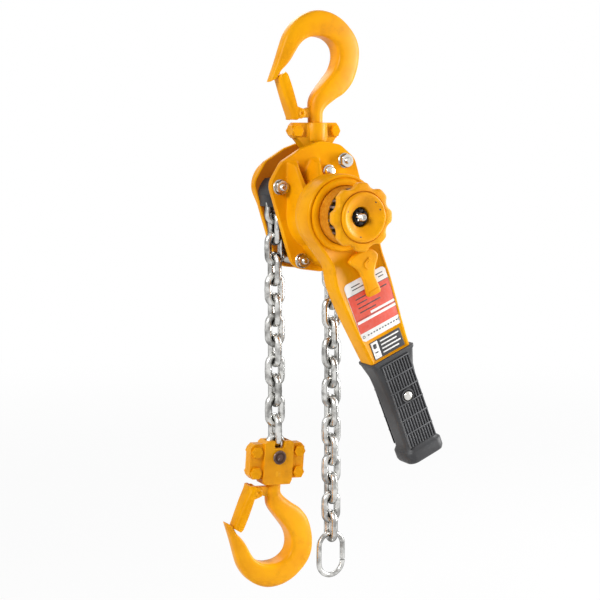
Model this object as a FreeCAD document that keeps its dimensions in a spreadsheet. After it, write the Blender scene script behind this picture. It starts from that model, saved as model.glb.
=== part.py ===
import FreeCAD, Part
import math
import os
import Sketcher
from FreeCAD import Placement, Rotation, Vector

# Lever chain hoist, millimetres.
# +X is right and +Z is up as it hangs, and the lever side faces -Y.
# The origin is the saddle of the top hook, where the load line starts.
# "Forward" means towards the lever: forward = -Y.

doc = FreeCAD.newDocument("LeverHoist")
sheet = doc.addObject("Spreadsheet::Sheet", "Sizes")

sizes = {
    # places of the main axes
    "saddleRise": 170.7,        # hook saddle above the drive shaft
    "hookAcross": 12.2,         # hook line right of the drive shaft
    "topPinRise": 55.0,         # suspension pin above the drive shaft
    "leverLean": 22.0,          # lever from straight down, degrees
    "lowerLean": 4.5,           # lower hook block from plumb, degrees
    # load chain
    "wire": 7.1,                # thickness of the chain wire
    "pitch": 20.2,              # inside length of a link
    "linkEase": 1.5,            # inside width of a link over the wire that lies in it
    "linkWidth": "=3 * wire + linkEase",  # outside width of a link
    "wheelStart": 173.05,       # direction of the last upright link on the sheave, degrees
    "chainPlay": 0.2,           # play between two links
    "hangLift": 0.25,           # play between the last link on the sheave and the strand
    "hookLinks": 12,            # links from the sheave to the lower block
    "freeLinks": 17,            # links from the sheave to the end ring
    # side plates
    "plateThick": 4.0,
    "plateRound": 6.0,
    # stays, studs and nuts
    "stayRadius": 5.0,
    "studRadius": 3.0,
    "nutWidth": 12.0,
    "nutHeight": 5.0,
    "washerRadius": 7.2,
    "washerThick": 1.4,
    "studEnd": 2.0,             # stud end past its nut
    # fits
    "runFit": 0.05,             # radial play of a running fit
    "easy": 0.4,                # play where pieces only pass each other
    # load sheave and its bushes
    "sheaveRadius": 37.0,
    "journalRadius": 13.0,
    "bushWall": 3.0,
    "pocketPlay": 0.5,
    "sheaveWall": 1.7,          # sheave beside its pockets
    "sheaveHalf": "=linkWidth / 2 + pocketPlay + sheaveWall",  # half the width of the sheave
    "sheavePlay": 0.7,          # sheave to each side plate
    "plateGap": "=2 * (sheaveHalf + sheavePlay)",
    # gear train
    "gearDistance": 28.0,       # drive shaft to each intermediate gear
    "gearLine": 115.0,          # direction of the upper intermediate gear, degrees
    "smallTeeth": 9,
    "bigTeeth": 27,
    "pressureAngle": 28.0,
    "backlash": 0.3,
    "gearFace": 6.0,
    "gearBoltRadius": 3.5,
    # gear case
    "flangeThick": 2.0,
    "caseWall": 2.6,
    "caseDepth": 22.0,
    "casePlay": 4.0,            # gear tips to the case wall
    "bossRadius": 13.0,
    "bossDepth": 39.0,
    # brake and its cover
    "coverThick": 2.5,
    "dishAcross": 4.0,
    "dishDrop": 2.0,
    "dishRadius": 36.5,
    "dishFront": 48.0,          # forward face of the cover
    "ratchetRadius": 24.0,
    "toothDepth": 3.5,
    "brakeTeeth": 12,
    "brakeRadius": 20.5,
    "liningThick": 2.3,
    "pawlReach": 31.0,          # drive shaft to a pawl's pin
    "shaftRadius": 5.0,
    # lever
    "leverRear": 50.0,          # forward place of the lever's rear face
    "leverSplit": 57.0,         # where the two shells meet
    "leverFront": 76.0,         # forward face of the arm
    "leverSheet": 2.2,
    "headRadius": 41.0,
    "armHalf": 26.0,            # half the width of the arm
    "armFoot": 150.0,           # drive shaft to the grip's upper edge
    "leverReach": 266.0,        # drive shaft to the grip's end
    "ringRadius": 35.0,         # raised ring round the knob
    "ringBore": 27.5,
    "ringRise": 3.0,
    "collarRadius": 27.0,       # opening of the cover that carries the lever
    "gripHalf": 17.8,
    "gripSwell": 2.5,           # grip over the arm, front and back
    # change gear, selector and knob
    "changeRadius": 23.0,
    "changeDepth": 5.0,
    "selectorDrop": 47.0,       # selector shaft below the drive shaft, along the arm
    "selectorLean": 8.7,        # selector from the arm's line, degrees
    "selectorRadius": 4.0,
    "knobRadius": 35.0,
    "knobRear": 84.0,
    "knobRim": 105.0,
    "knobFront": 114.0,
    "hubRadius": 10.0,
    # hooks and their blocks
    "shankRadius": 8.2,
    "neckRadius": 6.0,
    "neckLength": 6.0,
    "hookCollar": 9.0,
    "collarHeight": 6.0,
    "blockRise": 85.2,          # hook saddle to the block's face
    "lowerDrop": 111.0,         # chain pin to the lower hook's saddle
    "chainPinRadius": 3.6,
    "chainPinPlay": 0.37,
    "topPinRadius": 5.0,
    "latchPinRadius": 2.5,
    "boltRadius": 3.0,
}
for row, (word, value) in enumerate(sizes.items(), 1):
    sheet.set("A%d" % row, word)
    sheet.set("B%d" % row, str(value))
    sheet.setAlias("B%d" % row, word)
doc.recompute()


class Size:
    """A number that also knows the sheet formula it comes from."""

    def __init__(self, value, text):
        self.value = value
        self.text = text

    def mix(self, other, sign, work):
        other = size(other)
        return Size(work(self.value, other.value), "(%s %s %s)" % (self.text, sign, other.text))

    def __add__(self, other):
        return self.mix(other, "+", lambda a, b: a + b)

    def __sub__(self, other):
        return self.mix(other, "-", lambda a, b: a - b)

    def __mul__(self, other):
        return self.mix(other, "*", lambda a, b: a * b)

    def __truediv__(self, other):
        return self.mix(other, "/", lambda a, b: a / b)

    def __radd__(self, other):
        return size(other) + self

    def __rsub__(self, other):
        return size(other) - self

    def __rmul__(self, other):
        return self * other

    def __neg__(self):
        return self * -1

    def __float__(self):
        return self.value


def size(thing):
    return thing if isinstance(thing, Size) else Size(float(thing), "(%r)" % float(thing))


def cosine(angle):
    angle = size(angle)
    return Size(math.cos(math.radians(angle.value)), "cos(%s * 1deg)" % angle.text)


def sine(angle):
    angle = size(angle)
    return Size(math.sin(math.radians(angle.value)), "sin(%s * 1deg)" % angle.text)


class Sheet:
    def __getattr__(self, word):
        return Size(float(sheet.get(word)), "Sizes." + word)


S = Sheet()
parts = []


# ways to make a piece

def place(thing, across, forward, up, lean=None):
    """Put a piece at a point, leaned about the Y axis."""
    if lean is not None:
        thing.Placement = Placement(Vector(), Rotation(Vector(0, 1, 0), 10))
        thing.setExpression("Placement.Rotation.Angle", size(lean).text)
    thing.setExpression("Placement.Base.x", size(across).text)
    thing.setExpression("Placement.Base.y", (-size(forward)).text)
    thing.setExpression("Placement.Base.z", size(up).text)


def body(label, frame=None):
    """A new body, with its origin on the drive shaft's axis or in a frame of its own."""
    new = doc.addObject("PartDesign::Body", label)
    new.Label = label
    if frame is None:
        place(new, -S.hookAcross, 0, -S.saddleRise)
    else:
        new.Placement = frame
    parts.append(new)
    return new


def loop(*corners):
    return ("loop", corners)


def ring(across, up, radius):
    return ("ring", across, up, radius)


def hexagon(across, up, width):
    points = []
    for step in range(6):
        turn = math.radians(60 * step)
        reach = width / math.sqrt(3)
        points.append((across + reach * math.cos(turn), up + reach * math.sin(turn)))
    return loop(*points)


def sketch(owner, role, offset, outlines):
    """A fully fixed sketch of closed outlines on one of the body's own planes."""
    new = owner.newObject("Sketcher::SketchObject", owner.Label + "Sketch")
    plane = [one for one in owner.Origin.OriginFeatures if one.Role == role][0]
    new.AttachmentSupport = [(plane, "")]
    new.MapMode = "FlatFace"
    new.setExpression("AttachmentOffset.Base.z", size(offset).text)

    def fix(kind, index, point, length):
        length = size(length)
        constraint = Sketcher.Constraint(kind, -1, 1, index, point, length.value)
        number = new.addConstraint(constraint)
        if "Sizes" in length.text:
            new.setExpression("Constraints[%d]" % number, length.text)

    for outline in outlines:
        first = new.GeometryCount
        if outline[0] == "ring":
            across, up, radius = (size(one) for one in outline[1:])
            middle = Vector(across.value, up.value, 0)
            new.addGeometry(Part.Circle(middle, Vector(0, 0, 1), radius.value))
            fix("DistanceX", first, 3, across)
            fix("DistanceY", first, 3, up)
            number = new.addConstraint(Sketcher.Constraint("Radius", first, radius.value))
            if "Sizes" in radius.text:
                new.setExpression("Constraints[%d]" % number, radius.text)
            continue
        corners = outline[1]
        points = [Vector(float(across), float(up), 0) for across, up in corners]
        count = len(points)
        for index in range(count):
            new.addGeometry(Part.LineSegment(points[index], points[(index + 1) % count]))
        for index in range(count):
            follower = first + (index + 1) % count
            new.addConstraint(Sketcher.Constraint("Coincident", first + index, 2, follower, 1))
            fix("DistanceX", first + index, 1, corners[index][0])
            fix("DistanceY", first + index, 1, corners[index][1])
    return new


def grow(owner, start, end, *outlines):
    """Pad outlines seen from the lever side, from one forward place to another."""
    profile = sketch(owner, "XZ_Plane", start, outlines)
    pad = owner.newObject("PartDesign::Pad", owner.Label + "Pad")
    pad.Profile = profile
    pad.setExpression("Length", (size(end) - start).text)
    doc.recompute()
    return pad


def cut(owner, start, end, *outlines):
    """Pocket outlines seen from the lever side, between two forward places."""
    before = owner.Shape.Volume
    profile = sketch(owner, "XZ_Plane", end, outlines)
    pocket = owner.newObject("PartDesign::Pocket", owner.Label + "Pocket")
    pocket.Profile = profile
    pocket.setExpression("Length", (size(end) - start).text)
    doc.recompute()
    if not owner.Shape.Volume < before - 0.01:
        raise ValueError("a pocket of %s cuts nothing" % owner.Label)
    return pocket


def turned(owner, corners, kind="Revolution", role="XY_Plane", angle=None):
    """Turn a profile of (radius, forward) about Y, or of (radius, up) about Z."""
    if role == "XY_Plane":
        corners = [(radius, -size(forward)) for radius, forward in corners]
    profile = sketch(owner, role, 0, [loop(*corners)])
    feature = owner.newObject("PartDesign::" + kind, owner.Label + kind)
    feature.Profile = profile
    feature.ReferenceAxis = (profile, ["V_Axis"])
    feature.Angle = 360
    if angle is not None:
        feature.setExpression("Angle", size(angle).text)
    doc.recompute()
    return feature


def around(owner, feature, count):
    """Repeat a feature evenly around the body's Y axis."""
    pattern = owner.newObject("PartDesign::PolarPattern", owner.Label + "Pattern")
    pattern.Originals = [feature]
    axis = [one for one in owner.Origin.OriginFeatures if one.Role == "Y_Axis"][0]
    pattern.Axis = (axis, [""])
    pattern.Angle = 360
    pattern.setExpression("Occurrences", size(count).text)
    owner.Tip = pattern
    doc.recompute()
    return pattern


def rounded(owner, radius, pick, kind="Fillet"):
    """Fillet or chamfer the edges of the piece so far that pick accepts."""
    tip = owner.Tip
    names = []
    for index, edge in enumerate(tip.Shape.Edges, 1):
        if pick(edge):
            names.append("Edge%d" % index)
    feature = owner.newObject("PartDesign::" + kind, owner.Label + kind)
    feature.Base = (tip, names)
    feature.setExpression("Radius" if kind == "Fillet" else "Size", size(radius).text)
    doc.recompute()
    if not owner.Shape.isValid() or "Invalid" in feature.State:
        raise ValueError("the edges of %s can't be rounded" % owner.Label)
    return feature


def upright(edge):
    """An edge that runs from front to back, along Y."""
    if edge.Curve.TypeId != "Part::GeomLine":
        return False
    return abs(abs(edge.Curve.Direction.y) - 1) < 1e-6


def facing(forward):
    """Edges in the plane of one forward place."""
    level = -float(forward)

    def pick(edge):
        box = edge.BoundBox
        return abs(box.YMin - level) < 1e-4 and abs(box.YMax - level) < 1e-4
    return pick


def rod(label, radius, start, end, across, up, keep=True):
    """A plain round bar along Y between two forward places."""
    new = doc.addObject("Part::Cylinder", label)
    new.Label = label
    new.Placement = Placement(Vector(), Rotation(Vector(1, 0, 0), 90))
    new.setExpression("Radius", size(radius).text)
    new.setExpression("Height", (size(end) - start).text)
    new.setExpression("Placement.Base.x", (size(across) - S.hookAcross).text)
    new.setExpression("Placement.Base.y", (-size(start)).text)
    new.setExpression("Placement.Base.z", (size(up) - S.saddleRise).text)
    if keep:
        parts.append(new)
    return new


def shaped(label, shape, placement=None):
    """A piece made directly from a shape in shaft coordinates."""
    new = doc.addObject("Part::Feature", label)
    new.Label = label
    new.Shape = shape
    if placement is None:
        placement = Placement(Vector(-S.hookAcross.value, 0, -S.saddleRise.value), Rotation())
    new.Placement = placement
    parts.append(new)
    return new


# side plates, the same outline front and rear

plateOuter = S.plateGap / 2 + S.plateThick
nutPlaces = [(-37.8, 24.5), (-14.1, -46.8), (33.5, 48.9)]
guidePlaces = [(-37.8, 24.5), (37.8, 24.5)]
plateOutline = loop(
    (-49.5, 26.5), (-37.5, 49.8), (-14, 62.5), (7.5, 68), (29, 64.5), (45.5, 51), (52, 30),
    (51, -14), (34, -50), (8, -60.5), (-22.5, -55.5), (-29.5, -33))
upperGear = (S.gearDistance * cosine(S.gearLine), S.gearDistance * sine(S.gearLine))
lowerGear = (-upperGear[0], -upperGear[1])
pawlPlaces = []
for turn in (10.0, -80.0):
    pawlPlaces.append((S.pawlReach * cosine(turn), S.pawlReach * sine(turn)))
topPin = (S.hookAcross, S.topPinRise)

for name, start, end in (("side_plate_front", S.plateGap / 2, plateOuter),
                         ("side_plate_rear", -plateOuter, -S.plateGap / 2)):
    plate = body(name)
    grow(plate, start, end, plateOutline)
    rounded(plate, S.plateRound, upright)
    holes = [ring(0, 0, S.journalRadius + S.runFit)]
    holes.append(ring(topPin[0], topPin[1], S.topPinRadius))
    holes += [ring(x, z, S.studRadius) for x, z in nutPlaces[1:]]
    cut(plate, start, end, *holes)

rod("top_pin", S.topPinRadius, -plateOuter, plateOuter, *topPin)

# stays between the plates, with their bolts and nuts

coverFace = plateOuter + S.coverThick
rearFace = plateOuter + S.flangeThick
nutTop = coverFace + S.washerThick + S.nutHeight

stays = body("stays")
grow(stays, -S.plateGap / 2, S.plateGap / 2, *[ring(x, z, S.stayRadius) for x, z in nutPlaces[1:]])
grow(stays, -plateOuter, plateOuter, *[ring(x, z, S.studRadius) for x, z in nutPlaces[1:]])

nuts = body("stay_nuts")
grow(nuts, coverFace, nutTop, *[hexagon(x, z, S.nutWidth) for x, z in nutPlaces])
grow(nuts, -rearFace - S.nutHeight, -rearFace,
     *[hexagon(x, z, S.nutWidth) for x, z in nutPlaces[1:]])

# chain guides, two grooved blocks beside the sheave

guideInner = S.sheaveRadius + 1.5
guideOuter = guideInner + 10
grooveHalf = S.wire / 2 + 0.75
grooveOuter = guideInner + 7
guideProfile = [
    (guideInner, -S.plateGap / 2), (guideOuter, -S.plateGap / 2), (guideOuter, S.plateGap / 2),
    (guideInner, S.plateGap / 2), (guideInner, grooveHalf), (grooveOuter, grooveHalf),
    (grooveOuter, -grooveHalf), (guideInner, -grooveHalf)]
guideStart = 140.0
guideSpan = 24.0
for name, turn in (("chain_guide_left", guideStart + guideSpan),
                   ("chain_guide_right", 180 - guideStart)):
    guide = body(name)
    place(guide, -S.hookAcross, 0, -S.saddleRise, size(-turn))
    turned(guide, guideProfile, angle=guideSpan)

# chain stripper, clamped between the plates under the sheave

stripper = body("chain_stripper")
grow(stripper, -S.plateGap / 2, S.plateGap / 2,
     loop((-19.3, -53), (16, -53), (16, -41.5), (9, -39.5), (-9, -39.5), (-19.3, -41.5)))
grow(stripper, -3.3, 3.3, loop((-9, -40), (9, -40), (7.5, -22.5), (0, -21.4), (-7.5, -22.5)))
cut(stripper, -S.plateGap / 2, S.plateGap / 2, ring(*nutPlaces[1], S.stayRadius))

# load sheave, five pockets and a centre groove for the upright links

halfWire = S.wire / 2
crownReach = S.pitch / 2 + halfWire          # link centre to the middle of its bent wire
innerReach = S.pitch / 2 - halfWire
# radius on which the bent wires of the flat links lie, from the two chords of a 72 degree step
wheel = 0.5 * math.hypot(S.pitch.value / math.sin(math.radians(18)),
                         S.wire.value / math.cos(math.radians(18)))
flatPlace = math.sqrt(wheel ** 2 - crownReach.value ** 2)
uprightPlace = math.sqrt(wheel ** 2 - innerReach.value ** 2)
flatText = "sqrt(pow(0.5 * sqrt(pow(Sizes.pitch / sin(18deg); 2) + pow(Sizes.wire / cos(18deg); 2)); 2)"
flatSize = Size(flatPlace, flatText + " - pow(%s; 2))" % crownReach.text)
uprightSize = Size(uprightPlace, flatText + " - pow(%s; 2))" % innerReach.text)
grooveFloor = uprightSize - S.linkWidth / 2 - S.pocketPlay
pocketFloor = flatSize - halfWire - S.pocketPlay
pocketReach = S.pitch / 2 + S.wire + S.pocketPlay
pocketHalf = S.linkWidth / 2 + S.pocketPlay

sheave = body("load_sheave")
journalRear = -plateOuter - 2
place(sheave, -S.hookAcross, 0, -S.saddleRise, -S.wheelStart + 36)
journalEnd = plateOuter + S.easy
turned(sheave, [
    (S.shaftRadius + S.runFit, journalRear), (S.journalRadius, journalRear), (S.journalRadius, -S.sheaveHalf),
    (S.sheaveRadius, -S.sheaveHalf), (S.sheaveRadius, -grooveHalf), (grooveFloor, -grooveHalf),
    (grooveFloor, grooveHalf), (S.sheaveRadius, grooveHalf), (S.sheaveRadius, S.sheaveHalf),
    (S.journalRadius, S.sheaveHalf), (S.journalRadius, journalEnd),
    (S.shaftRadius + S.runFit, journalEnd)])
pocket = cut(sheave, -pocketHalf, pocketHalf,
             loop((pocketFloor, -pocketReach), (45, -pocketReach),
                  (45, pocketReach), (pocketFloor, pocketReach)))
around(sheave, pocket, 5)

# drive shaft through the sheave, from the gear case to the knob


def bar(radius, across, up, start, end):
    return Part.makeCylinder(float(radius), float(end) - float(start),
                             Vector(float(across), -float(start), float(up)), Vector(0, -1, 0))


shaftFront = 104.0
shaftRear = -plateOuter - S.bossDepth + 1.5
rod("drive_shaft", S.shaftRadius, shaftRear, shaftFront, 0, 0)
caseInside = -plateOuter - S.caseDepth + S.caseWall

# gear case, one pressing with a flange over the rear plate

gearTip = S.gearDistance * 2 / (S.smallTeeth + S.bigTeeth) * (S.bigTeeth / 2 + 1)
caseRadius = gearTip + S.casePlay
caseRear = -plateOuter - S.caseDepth
case = body("gear_case")
grow(case, -rearFace, -plateOuter, plateOutline)
rounded(case, S.plateRound, upright)
wallAcross = cosine(S.gearLine - 90)
wallUp = sine(S.gearLine - 90)


def belt(radius):
    """The straight-sided middle of an outline round both gear centres."""
    corners = []
    for centre, side in ((upperGear, 1), (lowerGear, 1), (lowerGear, -1), (upperGear, -1)):
        corners.append((centre[0] + side * radius * wallAcross, centre[1] + side * radius * wallUp))
    return loop(*corners)


for outline in (ring(*upperGear, caseRadius), ring(*lowerGear, caseRadius), belt(caseRadius)):
    grow(case, caseRear, -plateOuter, outline)
grow(case, -plateOuter - S.bossDepth, -plateOuter, ring(0, 0, S.bossRadius))
inside = caseRadius - S.caseWall
for outline in (ring(*upperGear, inside), ring(*lowerGear, inside), belt(inside)):
    cut(case, caseInside, -plateOuter, outline)
cut(case, -plateOuter - S.bossDepth + 1, caseInside, ring(0, 0, S.shaftRadius + S.runFit))

# brake discs on the drive shaft, behind the closed cover

brakeRear = 24.0
brakeFront = 39.7
brake = body("brake_discs")
grow(brake, brakeRear, brakeFront, ring(0, 0, S.ratchetRadius), ring(0, 0, S.shaftRadius))

# brake cover, a deep pressing with a flange over the front plate

cover = body("brake_cover")
grow(cover, plateOuter, coverFace, plateOutline)
rounded(cover, S.plateRound, upright)
dishCentre = (S.dishAcross, -S.dishDrop)
lobe = loop((-24, -20), (34, -20), (30, -44), (14, -54), (-2, -48))
lobeInner = loop((-21.5, -20), (31.5, -20), (27.5, -42.2), (13.7, -51), (-0.9, -45.7))
ribs = loop((-30.5, 18), (-19.5, 18), (-20, 46.5), (-28, 46.5)), \
    loop((-9.5, 28), (-0.5, 28), (-1.5, 51.5), (-8.5, 51.5))
grow(cover, plateOuter, S.dishFront, ring(*dishCentre, S.dishRadius))
grow(cover, plateOuter, S.dishFront, lobe)
for outline in ribs:
    grow(cover, plateOuter, S.dishFront - 3, outline)
cut(cover, plateOuter, S.dishFront - S.coverThick, ring(*dishCentre, S.dishRadius - S.coverThick))
cut(cover, plateOuter, S.dishFront - S.coverThick, lobeInner)
cut(cover, plateOuter, S.dishFront, ring(0, 0, S.collarRadius))

screw = body("cover_screw")
screwPlace = (16, 38.5)
turned(screw, [(0, coverFace), (5.4, coverFace), (5, coverFace + 2), (3.2, coverFace + 3.8),
               (0, coverFace + 4.3)])
place(screw, -S.hookAcross + screwPlace[0], 0, -S.saddleRise + screwPlace[1])

# change gear on the drive shaft, with the hub that carries the knob

changeRear = brakeFront + 0.2
gearRear = S.leverSplit + 1
gearFront = gearRear + 10
change = body("change_gear")
turned(change, [
    (S.shaftRadius + S.runFit, changeRear), (S.brakeRadius, changeRear),
    (S.brakeRadius, changeRear + 4), (S.hubRadius + 3, changeRear + 4),
    (S.hubRadius + 3, gearRear), (S.changeRadius, gearRear), (S.changeRadius, gearFront),
    (S.hubRadius, gearFront), (S.hubRadius, 98), (S.shaftRadius + S.runFit, 98)])
changeSpace = -90 + S.leverLean
space = []
spaceFloor = S.changeRadius - S.changeDepth
for radius, turn in ((spaceFloor, -8), (S.changeRadius + 1, -13), (S.changeRadius + 1, 13),
                     (spaceFloor, 8)):
    space.append((radius * cosine(changeSpace + turn), radius * sine(changeSpace + turn)))
spaceCut = cut(change, gearRear, gearFront, loop(*space))
around(change, spaceCut, S.brakeTeeth)

nut = body("shaft_nut")
grow(nut, 98.4, 103, hexagon(0, 0, 15), ring(0, 0, S.shaftRadius))

# knob, eight lobes and a raised centre disc

knob = body("knob")
grow(knob, S.knobRear, S.knobRim, ring(0, 0, S.knobRadius))
scallop = cut(knob, S.knobRear, S.knobRim, ring(0, S.knobRadius + 7.0, 9.6))
around(knob, scallop, 8)
turned(knob, [(0, S.knobRim - 1), (23.5, S.knobRim - 1), (23, S.knobFront - 1.5),
              (21.5, S.knobFront), (0, S.knobFront)])
cut(knob, 100, S.knobFront, ring(0, 0, S.hubRadius - 0.3))
cut(knob, S.knobRear, 100, ring(0, 0, S.hubRadius + S.runFit))

# lever, two pressed shells; its own frame hangs straight down before it leans

armTop = -S.selectorDrop
tang = 13.0
armOutline = loop((-S.armHalf, -24), (S.armHalf, -24), (S.armHalf, -104),
                  (S.armHalf - 3.5, -S.armFoot - 2), (-S.armHalf + 3.5, -S.armFoot - 2),
                  (-S.armHalf, -104))
wall = S.leverSheet
innerArm = loop((-S.armHalf + wall, -20), (S.armHalf - wall, -20), (S.armHalf - wall, -103.8),
                (S.armHalf - 3.6 - wall, -S.armFoot - 2 + wall),
                (-S.armHalf + 3.6 + wall, -S.armFoot - 2 + wall), (-S.armHalf + wall, -103.8))


def leverBody(label):
    new = body(label)
    place(new, -S.hookAcross, 0, -S.saddleRise, -S.leverLean)
    return new


front = leverBody("lever_front_shell")
grow(front, S.leverSplit, S.leverFront, ring(0, 0, S.headRadius))
grow(front, S.leverSplit, S.leverFront, armOutline)
rounded(front, 4.0, facing(S.leverFront), "Chamfer")
cut(front, S.leverSplit, S.leverFront - wall, ring(0, 0, S.headRadius - wall))
cut(front, S.leverSplit, S.leverFront - wall, innerArm)
turned(front, [(S.ringBore, gearFront + 1), (S.ringBore + 1.5, gearFront + 1),
               (S.ringBore + 1.5, S.leverFront - 2), (S.ringRadius, S.leverFront - 1),
               (S.ringRadius, S.leverFront + S.ringRise), (S.ringBore, S.leverFront + S.ringRise)])
cut(front, gearFront, S.leverFront + S.ringRise, ring(0, 0, S.ringBore))
cut(front, S.leverFront - 5, S.leverFront, ring(0, -S.selectorDrop, S.selectorRadius + S.runFit))

rear = leverBody("lever_rear_shell")
grow(rear, S.leverRear, S.leverSplit, ring(0, 0, S.headRadius))
grow(rear, S.leverRear, S.leverSplit, armOutline)
rounded(rear, 2.5, facing(S.leverRear), "Chamfer")
cut(rear, S.leverRear + wall, S.leverSplit, ring(0, 0, S.headRadius - wall))
cut(rear, S.leverRear + wall, S.leverSplit, innerArm)
mouth = loop((-tang - 0.6, -S.armFoot + 2), (tang + 0.6, -S.armFoot + 2),
             (tang + 0.6, -S.armFoot - 3), (-tang - 0.6, -S.armFoot - 3))
cut(front, S.leverSplit, S.leverSplit + 2, mouth)
cut(rear, S.leverSplit - 2, S.leverSplit, mouth)
collarBack = S.dishFront - S.coverThick - 0.6
turned(rear, [(S.collarRadius - 3, collarBack), (S.collarRadius - S.runFit, collarBack),
              (S.collarRadius - S.runFit, S.leverRear + 0.5), (S.collarRadius - 3, S.leverRear + 0.5)])
cut(rear, collarBack, S.leverRear + wall, ring(0, 0, S.collarRadius - 3))
cut(rear, S.leverRear, S.leverRear + wall, ring(0, -S.selectorDrop, S.selectorRadius + S.runFit))

tongue = leverBody("lever_tongue")
grow(tongue, S.leverSplit - 2, S.leverSplit + 2,
     loop((-S.armHalf + 7, -108), (S.armHalf - 7, -108), (tang, -S.armFoot), (tang, -240),
          (-tang, -240), (-tang, -S.armFoot)))

# selector on its shaft, with the change pawl between the shells

selector = body("selector_lever")
placeAcross = -S.hookAcross + S.selectorDrop * sine(S.leverLean)
placeUp = -S.saddleRise - S.selectorDrop * cosine(S.leverLean)
place(selector, placeAcross, 0, placeUp, -S.leverLean + S.selectorLean)
grow(selector, S.leverFront + 3.4, S.leverFront + 8,
     loop((-12, 6.5), (-15.5, 1), (-13.5, -4.5), (-7.5, -8), (-6.4, -20), (-7.2, -34.5), (7, -34.5),
          (6.4, -20), (8, -8), (15, -4), (17.5, 1.5), (13, 6.5)))
grow(selector, S.leverFront + 0.4, S.leverFront + 3.4, ring(0, 0, 7.5))
grow(selector, S.leverRear + 0.2, S.leverFront + 3.4, ring(0, 0, S.selectorRadius))

changePawl = body("change_pawl")
place(changePawl, placeAcross, 0, placeUp, -S.leverLean)
pawlRear = gearRear + 1
pawlFront = gearFront - 1
grow(changePawl, pawlRear, pawlFront, ring(0, 0, 8))
# each horn, as distance from the pivot and degrees from the line to the drive shaft
horn = ((7.5, 85), (15, 60), (28, 47), (38, 42.5), (43.5, 38.5), (44, 35.5), (42.2, 30.4),
        (39.2, 30.4), (37, 36), (25, 38), (15, 30), (7.5, 15))
for side in (-1, 1):
    grow(changePawl, pawlRear, pawlFront,
         loop(*[(radius * cosine(90 - side * turn), radius * sine(90 - side * turn))
                for radius, turn in horn]))
cut(changePawl, pawlRear, pawlFront, ring(0, 0, S.selectorRadius))

# grip over the lever's tongue

gripOutline = loop(
    (-S.armHalf + 3.0, -S.armFoot), (S.armHalf - 3.0, -S.armFoot), (S.gripHalf + 2, -168),
    (S.gripHalf, -190), (S.gripHalf, -243), (S.gripHalf + 4, -252), (S.gripHalf + 4, -S.leverReach),
    (-S.gripHalf - 4, -S.leverReach), (-S.gripHalf - 4, -252), (-S.gripHalf, -243),
    (-S.gripHalf, -190), (-S.gripHalf - 2, -168))
gripRear = S.leverRear - S.gripSwell
gripFront = S.leverFront + S.gripSwell
grip = leverBody("grip")
grow(grip, gripRear, gripFront, gripOutline)
rounded(grip, 7.0, lambda edge: upright(edge) and edge.BoundBox.ZMax < -S.leverReach.value + 1)
rounded(grip, 5.0, lambda edge: facing(gripFront)(edge) or facing(gripRear)(edge), "Chamfer")
cut(grip, S.leverSplit - 2, S.leverSplit + 2,
    loop((-tang, -S.armFoot + 1), (tang, -S.armFoot + 1), (tang, -240), (-tang, -240)))
armRelief = loop((-S.armHalf - 2, -S.armFoot + 3), (S.armHalf + 2, -S.armFoot + 3),
                 (S.armHalf + 2, -S.armFoot - 2), (-S.armHalf - 2, -S.armFoot - 2))
cut(grip, S.leverRear - 6, S.leverFront + 6, armRelief)

rivet = leverBody("grip_rivet")
rivetUp = -192.0
grow(rivet, gripRear + 0.5, gripFront + 0.6, ring(0, rivetUp, 4.6))
cut(grip, gripRear, gripFront, ring(0, rivetUp, 4.6))
cut(tongue, S.leverSplit - 2, S.leverSplit + 2, ring(0, rivetUp, 4.6))

# hooks: lofted sections from the shank round the bowl to the beak

hookSections = [
    # inner point, outer point, thickness; from the shank round to the beak
    ((-8.2, -84.7), (8.3, -84.7), 16.5), ((-8.7, -73.7), (7.8, -75.2), 17),
    ((-2.7, -62.7), (18.8, -65.2), 18), ((7.8, -51.7), (33.8, -53.7), 19),
    ((17.8, -39.7), (43.8, -37.7), 22), ((21.3, -22.7), (49.3, -20.7), 22),
    ((16.3, -9.7), (42.3, 3.3), 22), ((-1.2, 0.0), (2.8, 22.5), 22),
    ((-14.7, -5.7), (-22.2, 13.3), 19), ((-21.7, -14.7), (-34.7, -0.7), 19),
    ((-25.2, -20.2), (-40.7, -15.7), 16), ((-32.2, -25.5), (-43.7, -29.7), 14),
    ((-40.2, -33.2), (-48.2, -39.7), 12), ((-44.7, -41.2), (-50.7, -44.7), 9)]
latchPivot = (-20.3, -76.5)


def roundedSection(inner, outer, thick):
    """An eight-sided section between an inner and an outer point of the hook."""
    start = Vector(inner[0], 0, inner[1])
    along = Vector(outer[0] - inner[0], 0, outer[1] - inner[1])
    width = along.Length
    along.normalize()
    side = Vector(0, 1, 0)
    half = thick / 2
    bend = min(width, thick) * 0.3
    corners = ((bend, -half), (width - bend, -half), (width, bend - half), (width, half - bend),
               (width - bend, half), (bend, half), (0, half - bend), (0, bend - half))
    points = [start + along * one + side * two for one, two in corners]
    return Part.makePolygon(points + [points[0]])


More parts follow.
